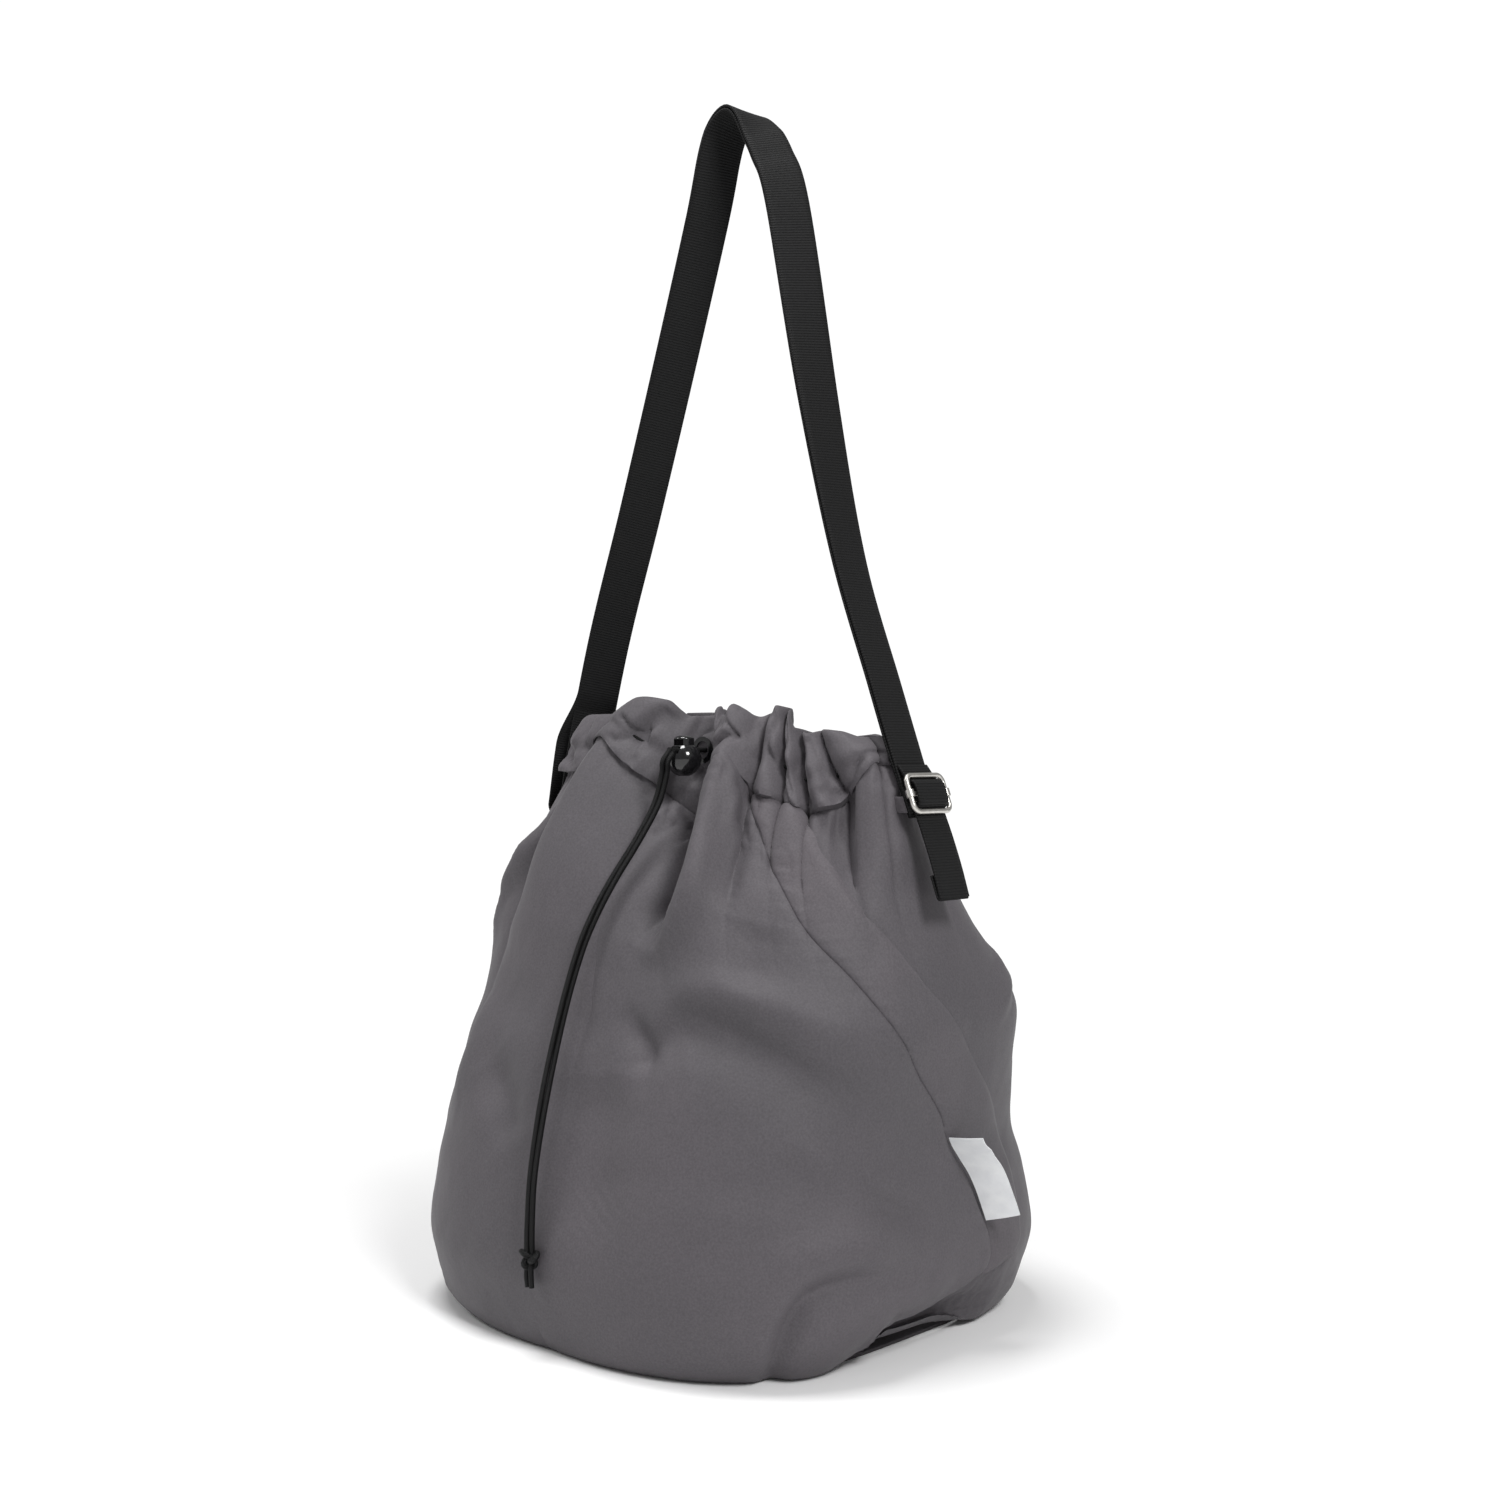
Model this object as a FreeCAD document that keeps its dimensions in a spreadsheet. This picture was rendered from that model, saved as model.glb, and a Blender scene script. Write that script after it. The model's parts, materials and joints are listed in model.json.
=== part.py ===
# Drawstring shoe bag: gathered fabric bucket, overlay pocket, webbing strap with slider, cord with lock.
# Frame: millimetres, +Z up, origin at the centre of the base, -Y is the front, +X is the slider's side.
import FreeCAD, Part
import os
import re
from math import atan2, copysign, cos, degrees, pi, sin
import Sketcher
from FreeCAD import Placement, Rotation, Vector

doc = FreeCAD.newDocument("shoe_bag")

# ---------------------------------------------------------------- driving dimensions
DRIVING = {
    "fabric": 1.2,              # one wall, two cloth layers laid together
    "sewing_gap": 0.3,          # clearance between sewn pieces
    "base_pad": 2.0,
    "casing_depth": 7.0,        # gathered rim, from its outer to its inner face
    "tunnel_radius": 2.3,
    "cord_radius": 1.5,
    "cord_height": 310.0,
    "cord_exit": 70.0,          # distance in front of the bag's axis where the cord leaves the lock
    "cord_side": 17.0,          # the lock and eyelet sit this far towards the slider's side
    "casing_split": 85.0,       # half width of the part of the rim that opens
    "pocket_back_edge": 25.0,   # how far the pocket wraps behind the bag's middle plane
    "band_width": 24.0,
    "label_width": 24.0,
    "label_length": 46.0,
    "label_thickness": 0.6,
    "webbing_width": 24.6,
    "webbing_thickness": 1.4,
    "strap_half_gap": 0.2,      # half the space between the strap's two runs
    "foot_half_gap": 2.2,       # the same at the foot, where the runs part round the tab
    "foot_height": 276.0,
    "foot_reach": 134.5,
    "strap_top": 680.0,
    "crown_radius": 21.0,
    "crown_shift": 8.5,
    "tab_strip": 1.2,
    "tab_height": 8.0,
    "tab_rise": 8.0,            # tab's middle above the strap's foot, along the strap
    "tab_depth": 10.0,
    "tab_half_span": 20.0,
    "slider_width": 33.0,
    "slider_length": 22.5,
    "slider_wire": 2.8,
    "slider_corner": 4.0,
    "slider_rise": 9.5,         # slider's centre above the strap's foot, along the strap
    "slider_offset": 7.6,       # slider's plane outside the strap's centreline
    "bar_radius": 1.3,
    "collar_radius": 2.3,
    "collar_bore": 1.55,
    "collar_length": 4.0,
    "tail_clearance": 0.8,
    "tail_drop": 46.0,
    "lock_radius": 9.5,
    "lock_front": 58.0,         # distance of the lock's axis in front of the bag's axis
    "lock_height": 305.0,
    "lock_top": 7.5,            # barrel's cut faces above and below its centre
    "lock_bottom": 9.0,
    "lock_bore_radius": 5.8,
    "lock_bore_floor": 7.5,
    "plunger_radius": 5.5,
    "plunger_foot": 2.2,        # plunger's lower end below the lock's centre
    "plunger_head": 13.0,
    "press_travel": 4.0,
    "spring_wire": 0.4,
    "spring_radius": 4.2,
    "spring_length": 4.2,
    "eyelet_bore": 4.8,
    "eyelet_barrel": 5.6,
    "eyelet_flange": 7.4,
    "eyelet_sheet": 0.6,
    "knot_radius": 5.0,
}

# Horizontal sections of the bag's outer face: height, half width, half depth, squareness of the oval.
SECTIONS = {
    "base": (0, 124, 118, 2.6),
    "bowl": (16, 149, 141, 2.8),
    "belly": (50, 160, 150, 2.8),
    "chest": (103, 156, 140, 2.7),
    "waist": (150, 154, 129, 2.7),
    "shoulder": (193, 149, 112, 2.6),
    "yoke": (238, 139, 92, 2.3),
    "neck": (262, 130, 76, 2.1),
    "seam": (288, 121, 54, 2.0),
    "tunnel": (310, 115, 43, 2.0),
    "rim": (332, 109, 38, 2.0),
}
SECTION_SIZES = ("height", "half_width", "half_depth", "squareness")

ALIASES = dict(DRIVING)
for section, section_values in SECTIONS.items():
    for section_size, section_value in zip(SECTION_SIZES, section_values):
        ALIASES[f"{section}_{section_size}"] = section_value

sheet = doc.addObject("Spreadsheet::Sheet", "sizes")
for row, (alias, value) in enumerate(ALIASES.items(), start=1):
    sheet.set(f"A{row}", alias)
    sheet.set(f"B{row}", str(value))
    sheet.setAlias(f"B{row}", alias)
doc.recompute()


def size(alias):
    return float(sheet.get(alias))


def bind(obj, **sizes):
    """Bind properties to expressions over the sheet's aliases."""
    for prop, expression in sizes.items():
        obj.setExpression(prop.replace("__", "."), with_sheet(expression))
    return obj


def with_sheet(expression):
    """Put the sheet's name before every alias in an expression."""
    def named(match):
        word = match.group(0)
        return f"sizes.{word}" if word in ALIASES else word

    return re.sub(r"[a-z_]+", named, expression)


# ---------------------------------------------------------------- helpers for primitives and sketches
def primitive(kind, name, place=None, **sizes):
    obj = doc.addObject(f"Part::{kind}", name)
    bind(obj, **sizes)
    if place:
        for axis, expression in zip("xyz", place):
            obj.setExpression(f"Placement.Base.{axis}", with_sheet(expression))
    return obj


def cut(name, base, tool):
    obj = doc.addObject("Part::Cut", name)
    obj.Base = base
    obj.Tool = tool
    obj.Refine = False
    return obj


def common(name, first, second):
    obj = doc.addObject("Part::Common", name)
    obj.Base = first
    obj.Tool = second
    obj.Refine = False
    return obj


def fuse(name, *pieces):
    obj = doc.addObject("Part::MultiFuse", name)
    obj.Shapes = list(pieces)
    return obj


def shape_feature(name, shape):
    obj = doc.addObject("Part::Feature", name)
    obj.Shape = shape
    return obj


def sketch_on(body, name, plane):
    sketch = body.newObject("Sketcher::SketchObject", name)
    origin_plane = next(f for f in body.Origin.OriginFeatures if f.Role == plane)
    sketch.AttachmentSupport = [(origin_plane, "")]
    sketch.MapMode = "FlatFace"
    return sketch


def pin_point(sketch, geometry, point, name, across, along):
    """Tie a sketch point to the origin by two expressions; a plain 0 puts it on the axis."""
    for kind, axis, word, expression in (("DistanceX", -2, "x", across), ("DistanceY", -1, "y", along)):
        if expression == "0":
            sketch.addConstraint(Sketcher.Constraint("PointOnObject", geometry, point, axis))
        else:
            value = sketch.evalExpression(with_sheet(expression))
            value = float(getattr(value, "Value", value))
            index = sketch.addConstraint(Sketcher.Constraint(kind, -1, 1, geometry, point, value))
            sketch.renameConstraint(index, f"{name}_{word}")
            sketch.setExpression(f"Constraints.{name}_{word}", with_sheet(expression))


def expression_point(sketch, across, along):
    values = [sketch.evalExpression(with_sheet(e)) for e in (across, along)]
    values = [float(getattr(v, "Value", v)) for v in values]
    return Vector(values[0], values[1], 0)


def outline(sketch, corners):
    """A closed outline of straight lines whose corners are pairs of expressions."""
    points = [expression_point(sketch, *corner) for corner in corners]
    for i, point in enumerate(points):
        sketch.addGeometry(Part.LineSegment(point, points[(i + 1) % len(points)]), False)
    for i, corner in enumerate(corners):
        sketch.addConstraint(Sketcher.Constraint("Coincident", i, 2, (i + 1) % len(corners), 1))
        pin_point(sketch, i, 1, f"corner{i}", *corner)


def circle(sketch, across, along, radius, name="round"):
    centre = expression_point(sketch, across, along)
    value = sketch.evalExpression(with_sheet(radius))
    value = float(getattr(value, "Value", value))
    index = sketch.addGeometry(Part.Circle(centre, Vector(0, 0, 1), value), False)
    pin_point(sketch, index, 3, name, across, along)
    limit = sketch.addConstraint(Sketcher.Constraint("Radius", index, value))
    sketch.renameConstraint(limit, f"{name}_radius")
    sketch.setExpression(f"Constraints.{name}_radius", with_sheet(radius))


def pad_both_ways(body, sketch, name, length):
    feature = body.newObject("PartDesign::Pad", name)
    feature.Profile = sketch
    feature.setExpression("Length", with_sheet(length))
    feature.SideType = "Symmetric"
    return feature


# ---------------------------------------------------------------- the bag's ovals and skins
OVAL_POINTS = 24


def oval_point(half_width, half_depth, squareness, angle):
    """A point of a superellipse, the plan of the bag at one height."""
    c = cos(angle)
    s = sin(angle)
    x = copysign(abs(c) ** (2 / squareness), c) * half_width
    y = copysign(abs(s) ** (2 / squareness), s) * half_depth
    return x, y


def oval_wire(section, inset):
    height, half_width, half_depth, squareness = (size(f"{section}_{s}") for s in SECTION_SIZES)
    points = []
    for i in range(OVAL_POINTS):
        x, y = oval_point(half_width - inset, half_depth - inset, squareness, 2 * pi * i / OVAL_POINTS)
        points.append(Vector(x, y, height))
    curve = Part.BSplineCurve()
    curve.interpolate(points, PeriodicFlag=True)
    return Part.Wire(curve.toShape())


def skin(name, sections, inset):
    """A closed solid through the named sections, moved inwards by inset."""
    loft = doc.addObject("Part::Loft", name)
    loft.Sections = [shape_feature(f"{name}_{s}", oval_wire(s, inset)) for s in sections]
    loft.Solid = True
    return loft


WALL_SECTIONS = list(SECTIONS)[:9]
CASING_SECTIONS = list(SECTIONS)[8:]
gap = size("sewing_gap")
fabric = size("fabric")

wall_outer = skin("wall_outer", WALL_SECTIONS, 0)
wall_inner = skin("wall_inner", WALL_SECTIONS, fabric)
wall_shell = cut("wall_shell", wall_outer, wall_inner)
overlay_outer = skin("overlay_outer", WALL_SECTIONS, -gap - fabric)
overlay_inner = skin("overlay_inner", WALL_SECTIONS, -gap)
overlay_shell = cut("overlay_shell", overlay_outer, overlay_inner)

# ---------------------------------------------------------------- base and walls, seamed at the sides
base_wire = shape_feature("base_wire", oval_wire("base", fabric + gap))
base_panel = doc.addObject("Part::Extrusion", "base_panel")
base_panel.Base = base_wire
base_panel.DirMode = "Custom"
base_panel.Dir = Vector(0, 0, 1)
base_panel.Solid = True
base_panel.setExpression("LengthFwd", "sizes.base_pad")

front_room = primitive("Box", "front_room", ("-400", "-400 - sewing_gap / 2", "-1"),
                       Length="800", Width="400", Height="500")
back_room = primitive("Box", "back_room", ("-400", "sewing_gap / 2", "-1"),
                      Length="800", Width="400", Height="500")
front_wall = common("front_wall", wall_shell, front_room)
back_wall = common("back_wall", wall_shell, back_room)

# ---------------------------------------------------------------- overlay pocket, its band and label
# The pocket's open edge lies in one oblique plane, given by a point near the mouth and its normal.
EDGE_POINT = Vector(47, -43, 287)
EDGE_NORMAL = Vector(0.582, 0.648, 0.487)
edge_turn = Rotation(Vector(0, 0, 1), EDGE_NORMAL)


def beside_edge(name, start, depth):
    """A large block between two planes parallel to the pocket's open edge."""
    block = Part.makeBox(1000, 1000, depth, Vector(-500, -500, start))
    block.Placement = Placement(EDGE_POINT, edge_turn).multiply(block.Placement)
    return shape_feature(name, block)


def plan_room(name, back_edge):
    """The plan area that the overlay may cover: the whole front, and back_edge behind the middle at +X."""
    front = Part.makeBox(800, 400 - gap / 2, 500, Vector(-400, -400, -1))
    side = Part.makeBox(400, back_edge + gap, 500, Vector(60, -gap, -1))
    return shape_feature(name, front.fuse(side))


pocket_side = beside_edge("pocket_side", -900, 900 - gap)
band_side = beside_edge("band_side", 0, size("band_width"))
pocket_room = plan_room("pocket_room", size("pocket_back_edge"))
band_room = plan_room("band_room", size("pocket_back_edge") + size("band_width"))
pocket_cover = common("pocket_cover", overlay_shell, pocket_room)
band_cover = common("band_cover", overlay_shell, band_room)
pocket_panel = common("pocket_panel", pocket_cover, pocket_side)
pocket_edge_band = common("pocket_edge_band", band_cover, band_side)

label_tab = primitive("Box", "label_tab", Length="label_thickness", Width="label_width",
                      Height="label_length")
LABEL_CORNER = Vector(163.2, 14, 68)
LABEL_LEAN = 30
label_tab.Placement = Placement(LABEL_CORNER, Rotation(Vector(1, 0, 0), LABEL_LEAN))

# ---------------------------------------------------------------- gathered rim casing with its cord tunnel
casing_outer = skin("casing_outer", CASING_SECTIONS, 0)
casing_inner = skin("casing_inner", CASING_SECTIONS, size("casing_depth"))
casing_ring = cut("casing_ring", casing_outer, casing_inner)


def round_bar(points, radius, closed=False):
    """A round bar that follows a smooth curve through points."""
    curve = Part.BSplineCurve()
    curve.interpolate(points, PeriodicFlag=closed)
    path = Part.Wire(curve.toShape())
    start = curve.value(curve.FirstParameter)
    direction = Vector(*curve.tangent(curve.FirstParameter)[0])
    ring = Part.Wire(Part.makeCircle(radius, start, direction))
    return path.makePipeShell([ring], True, True)


tunnel_inset = size("casing_depth") / 2
tunnel_half_width = size("tunnel_half_width") - tunnel_inset
tunnel_half_depth = size("tunnel_half_depth") - tunnel_inset
cord_height = size("cord_height")


def tunnel_point(angle):
    x, y = oval_point(tunnel_half_width, tunnel_half_depth, 2, angle)
    return Vector(x, y, cord_height)


tunnel_line = [tunnel_point(pi / 2 + 2 * pi * i / OVAL_POINTS) for i in range(OVAL_POINTS)]
tunnel = shape_feature("tunnel", round_bar(tunnel_line, size("tunnel_radius"), closed=True))
CORD_MOUTH_HALF = 12.0      # room where the two cord ends part from the eyelet into the tunnel
cord_mouth = primitive("Box", "cord_mouth",
                       (f"cord_side - {CORD_MOUTH_HALF}", "-tunnel_half_depth + 1.2", "cord_height - cord_radius - 0.3"),
                       Length=f"2 * {CORD_MOUTH_HALF}", Width="5", Height="2 * cord_radius + 0.6")
facing_front = Rotation(Vector(1, 0, 0), 90)
eyelet_hole = primitive("Cylinder", "eyelet_hole", ("cord_side", "-tunnel_half_depth + 4", "cord_height"),
                        Radius="eyelet_barrel + sewing_gap", Height="12")
eyelet_hole.Placement.Rotation = facing_front
# the cloth is pressed flat where the eyelet's flange sits on it
eyelet_seat = primitive("Cylinder", "eyelet_seat", ("cord_side", "-tunnel_half_depth - 0.1", "cord_height"),
                        Radius="eyelet_flange + sewing_gap", Height="12")
eyelet_seat.Placement.Rotation = facing_front
tunnelled_ring = cut("tunnelled_ring", casing_ring, tunnel)
pierced_ring = cut("pierced_ring", tunnelled_ring, eyelet_hole)
seated_ring = cut("seated_ring", pierced_ring, eyelet_seat)
casing = cut("casing", seated_ring, cord_mouth)

# the seam gap between the casing and the walls, and the lines where the opening part begins
above_seam = ("seam_height + sewing_gap", "100")
middle_front = primitive("Box", "middle_front", ("-casing_split", "-200", above_seam[0]),
                         Length="2 * casing_split", Width="200", Height=above_seam[1])
middle_back = primitive("Box", "middle_back", ("-casing_split", "0", above_seam[0]),
                        Length="2 * casing_split", Width="200", Height=above_seam[1])
left_room = primitive("Box", "left_room", ("-casing_split - sewing_gap - 200", "-200", above_seam[0]),
                      Length="200", Width="400", Height=above_seam[1])
right_room = primitive("Box", "right_room", ("casing_split + sewing_gap", "-200", above_seam[0]),
                       Length="200", Width="400", Height=above_seam[1])
front_casing = common("front_casing", casing, middle_front)
back_casing = common("back_casing", casing, middle_back)
left_casing_end = common("left_casing_end", casing, left_room)
right_casing_end = common("right_casing_end", casing, right_room)

# ---------------------------------------------------------------- cord eyelet in the front of the rim
eyelet_pieces = []
for piece, radius, start, length in (
    ("eyelet_rim", "eyelet_flange", "-tunnel_half_depth - sewing_gap - 0.1", "eyelet_sheet"),
    ("eyelet_neck", "eyelet_barrel", "-tunnel_half_depth + 1.6", "2.5"),
):
    disc = primitive("Cylinder", piece, ("cord_side", start, "cord_height"), Radius=radius, Height=length)
    disc.Placement.Rotation = facing_front
    eyelet_pieces.append(disc)
eyelet_bore = primitive("Cylinder", "eyelet_through", ("cord_side", "-tunnel_half_depth + 5", "cord_height"),
                        Radius="eyelet_bore", Height="12")
eyelet_bore.Placement.Rotation = facing_front
cord_eyelet = cut("cord_eyelet", fuse("eyelet_body", *eyelet_pieces), eyelet_bore)

# ---------------------------------------------------------------- drawstring: loop in the tunnel, tails in front
cord_radius = size("cord_radius")
strand = cord_radius + 0.1
BEND_RADIUS = 2.6       # of the bends where the cord's two ends enter the tunnel
cord_side = size("cord_side")
loop_oval = Part.Ellipse(Vector(0, 0, cord_height), tunnel_half_width, tunnel_half_depth)


def oval_normal(angle):
    normal = Vector(cos(angle) / tunnel_half_width, sin(angle) / tunnel_half_depth, 0)
    return normal.normalize()


def bend_angle(side):
    """The angle round the tunnel where a bend that also touches the straight strand runs into it."""
    target = cord_side + side * (strand + BEND_RADIUS)
    low, high = -0.75 * pi, -0.25 * pi
    for _ in range(40):
        middle = (low + high) / 2
        if tunnel_point(middle).x + BEND_RADIUS * oval_normal(middle).x < target:
            low = middle
        else:
            high = middle
    return middle


def loop_half(side):
    """The straight strand from the lock's front through the eyelet, and the bend into the tunnel."""
    angle = bend_angle(side)
    bend_end = tunnel_point(angle)
    centre = bend_end + oval_normal(angle) * BEND_RADIUS
    bend_start = centre - Vector(side * BEND_RADIUS, 0, 0)
    halfway = (bend_start + bend_end) / 2 - centre
    middle = centre + halfway.normalize() * BEND_RADIUS
    front = Vector(bend_start.x, -size("cord_exit") + 2, cord_height)
    return [Part.LineSegment(front, bend_start), Part.Arc(bend_start, middle, bend_end)]


tunnel_run = Part.ArcOfEllipse(loop_oval, bend_angle(1), bend_angle(-1) + 2 * pi)
right_strand, right_bend = loop_half(1)
left_strand, left_bend = loop_half(-1)
loop_edges = [piece.toShape() for piece in (right_strand, right_bend, tunnel_run, left_bend, left_strand)]
loop_wire = Part.Wire(Part.__sortEdges__(loop_edges))
cord_end = Part.Wire(Part.makeCircle(cord_radius, right_strand.StartPoint, Vector(0, 1, 0)))
drawstring_loop = shape_feature("drawstring_loop", loop_wire.makePipeShell([cord_end], True, True))

KNOT_PLACE = Vector(-1.5, -157, 43)
tail_path = [
    (cord_side, -size("cord_exit"), cord_height),
    (cord_side - 0.5, -75, cord_height - 3),
    (cord_side - 2, -79, 296),
    (10, -87, 262),
    (4, -100, 240),
    (-1, -116, 205),
    (-3, -128, 172),
    (-1, -143, 120),
    (-1, -156, 60),
    (-2, -157, 28),
]
tail_strands = []
for side in (-1, 1):
    points = [Vector(x + side * strand, y, z) for x, y, z in tail_path]
    tail_strands.append(shape_feature(f"tail_strand_{side + 1}", round_bar(points, cord_radius)))
knot = primitive("Ellipsoid", "knot", Radius1="knot_radius * 0.9", Radius2="knot_radius",
                 Radius3="knot_radius * 0.8")
knot.Placement.Base = KNOT_PLACE
drawstring_tails = fuse("drawstring_tails", *tail_strands, knot)

# ---------------------------------------------------------------- cord lock: barrel, plunger and spring
lock_place = ("cord_side", "-lock_front", "lock_height")


def cross_slot(name, low, high):
    """The cord's way through the lock, front to back, between two heights about the cord."""
    return primitive("Box", name, ("cord_side - 2 * cord_radius - 0.6", "-lock_front - 15", f"cord_height - {low}"),
                     Length="4 * cord_radius + 1.2", Width="30", Height=f"{low} + {high}")


barrel_ball = primitive("Sphere", "barrel_ball", lock_place, Radius="lock_radius")
barrel_trim = primitive("Cylinder", "barrel_trim", ("cord_side", "-lock_front", "lock_height - lock_bottom"),
                        Radius="lock_radius + 1", Height="lock_bottom + lock_top")
barrel_bore = primitive("Cylinder", "barrel_bore", ("cord_side", "-lock_front", "lock_height - lock_bore_floor"),
                        Radius="lock_bore_radius", Height="30")
barrel_block = common("barrel_block", barrel_ball, barrel_trim)
barrel_open = cut("barrel_open", barrel_block, barrel_bore)
cord_lock_barrel = cut("cord_lock_barrel", barrel_open, cross_slot("barrel_slot", "1.9", "1.9"))

plunger_stem = primitive("Cylinder", "plunger_stem", ("cord_side", "-lock_front", "lock_height - plunger_foot"),
                         Radius="plunger_radius", Height="plunger_foot + plunger_head - 2")
plunger_dome = primitive("Ellipsoid", "plunger_dome",
                         ("cord_side", "-lock_front", "lock_height + plunger_head - 2"),
                         Radius1="2", Radius2="plunger_radius", Radius3="plunger_radius")
plunger_solid = fuse("plunger_solid", plunger_stem, plunger_dome)
cord_lock_plunger = cut("cord_lock_plunger", plunger_solid,
                        cross_slot("plunger_slot", "1.8", "( press_travel + 1.8 )"))

SPRING_TURNS = 3
SPRING_STEPS = 16           # points of the wire's centreline to a turn
spring_foot = Vector(cord_side, -size("lock_front"),
                     size("lock_height") - size("lock_bore_floor") + size("spring_wire") + 0.1)
spring_line = []
for i in range(SPRING_TURNS * SPRING_STEPS + 1):
    turn = 2 * pi * i / SPRING_STEPS
    rise = size("spring_length") * i / (SPRING_TURNS * SPRING_STEPS)
    spring_line.append(spring_foot + Vector(cos(turn), sin(turn), 0) * size("spring_radius") + Vector(0, 0, rise))
cord_lock_spring = shape_feature("cord_lock_spring", round_bar(spring_line, size("spring_wire")))

# ---------------------------------------------------------------- shoulder strap: one loop of webbing, two runs
edge_y = -size("webbing_width") / 2
foot = Vector(size("foot_reach"), 0, size("foot_height"))
RIGHT_KNEE = Vector(84, 0, 412)     # the strap's right run is straight from its foot up to here
RIGHT_BEND = [(62, 500), (40, 612)]
LEFT_STEPS = 5
crown = Vector(size("crown_shift"), 0, size("strap_top") - size("crown_radius"))
strap_direction = (RIGHT_KNEE - foot).normalize()
outward = Vector(strap_direction.z, 0, -strap_direction.x)


def between(start, end, steps):
    return [start + (end - start) * (i / steps) for i in range(steps)]


def strap_centreline():
    """From the left foot over the crown to the right foot, in the plane Y = 0."""
    radius = size("crown_radius")
    left_foot = Vector(-foot.x, 0, foot.z)
    shoulder = crown + Vector(-radius, 0, -10)
    points = between(left_foot, shoulder, LEFT_STEPS)
    points += [crown + Vector(-cos(a), 0, sin(a)) * radius for a in (0.2, 0.8, pi / 2, pi - 0.8, pi - 0.2)]
    points += [Vector(x, 0, z) for x, z in reversed(RIGHT_BEND)]
    return points + between(RIGHT_KNEE, foot, LEFT_STEPS) + [foot]


def half_gaps(points, foot_length=34):
    """Half the space between the runs: narrow along the strap, wider round the tab at each foot."""
    narrow = size("strap_half_gap")
    wide = size("foot_half_gap")
    ends = (points[0], points[-1])
    near = [min((p - end).Length for end in ends) for p in points]
    return [narrow + (wide - narrow) * max(0, 1 - max(0, d - 12) / foot_length) for d in near]


def side_points(points, distances):
    """Each point moved sideways in the XZ plane by its own distance."""
    moved = []
    for i, point in enumerate(points):
        ahead = points[min(i + 1, len(points) - 1)] - points[max(i - 1, 0)]
        ahead.normalize()
        moved.append(point + Vector(-ahead.z, 0, ahead.x) * distances[i])
    return moved


def loop_outline(points, distances):
    """A closed curve round a line of points, at a distance from it, round at both ends."""
    def cap(end, before, radius):
        ahead = (end - before).normalize()
        aside = Vector(-ahead.z, 0, ahead.x)
        return [end + (aside * cos(a) + ahead * sin(a)) * radius for a in (pi / 4, pi / 2, 3 * pi / 4)]

    one_side = side_points(points, distances)
    other_side = side_points(points, [-d for d in distances])
    ring = one_side + cap(points[-1], points[-2], distances[-1])
    ring += other_side[::-1] + cap(points[0], points[1], distances[0])
    curve = Part.BSplineCurve()
    curve.interpolate([Vector(p.x, edge_y, p.z) for p in ring], PeriodicFlag=True)
    return Part.Wire(curve.toShape())


def dense(points, steps=4):
    """The same smooth line with more points, so that its offsets stay even."""
    curve = Part.BSplineCurve()
    curve.interpolate(points)
    count = steps * (len(points) - 1)
    span = curve.LastParameter - curve.FirstParameter
    return [curve.value(curve.FirstParameter + span * i / count) for i in range(count + 1)]


def webbing_solid(face):
    """Extrude a section of webbing, drawn along the webbing's front edge, across its width."""
    return face.extrude(Vector(0, size("webbing_width"), 0))


centreline = dense(strap_centreline())
inner_gaps = half_gaps(centreline)
outer_gaps = [g + size("webbing_thickness") for g in inner_gaps]
strap_face = Part.makeFace([loop_outline(centreline, outer_gaps), loop_outline(centreline, inner_gaps)],
                           "Part::FaceMakerBullseye")
shoulder_strap = shape_feature("shoulder_strap", webbing_solid(strap_face))

# ---------------------------------------------------------------- strap tabs sewn over the side seams
# Each tab is a strip bridged over the strap's foot: its middle passes between the strap's two runs.
def strap_tab(name, side, direction):
    body = doc.addObject("PartDesign::Body", name)
    sketch = sketch_on(body, f"{name}_plan", "XY_Plane")
    strip = "tab_strip"
    outline(sketch, [
        (f"-{strip} / 2", "-webbing_width / 2 - 2"),
        (f"{strip} / 2", "-webbing_width / 2 - 2.6"),
        (f"{strip} / 2", "webbing_width / 2 + 2.6"),
        (f"-{strip} / 2", "webbing_width / 2 + 2"),
        ("-tab_depth", "tab_half_span"),
        (f"-tab_depth - {strip}", "tab_half_span - 0.9"),
        (f"-{strip} * 1.5", "webbing_width / 2 + 0.8"),
        (f"-{strip} / 2", "webbing_width / 2 + 0.4"),
        (f"-{strip} / 2", "-webbing_width / 2 - 0.4"),
        (f"-{strip} * 1.5", "-webbing_width / 2 - 0.8"),
        (f"-tab_depth - {strip}", "-tab_half_span + 0.9"),
        ("-tab_depth", "-tab_half_span"),
    ])
    pad_both_ways(body, sketch, f"{name}_strip", "tab_height")
    place = Vector(side * foot.x, 0, foot.z) + direction * size("tab_rise")
    turn = Rotation(Vector(0, 1, 0), degrees(atan2(direction.x, direction.z)))
    if side < 0:
        turn = turn.multiply(Rotation(Vector(0, 0, 1), 180))
    body.Placement = Placement(place, turn)
    return body


left_direction = (centreline[3] - centreline[0]).normalize()
left_strap_tab = strap_tab("left_strap_tab", -1, left_direction)
right_strap_tab = strap_tab("right_strap_tab", 1, strap_direction)

# ---------------------------------------------------------------- slider: wire frame, moving bar, webbing tail
# Its own frame: x outwards from the strap, y across it, z up along it.
slider_centre = foot + strap_direction * size("slider_rise") + outward * size("slider_offset")
slider_turn = Rotation(Vector(0, 1, 0), degrees(atan2(strap_direction.x, strap_direction.z)))
slider_place = Placement(slider_centre, slider_turn)


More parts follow.
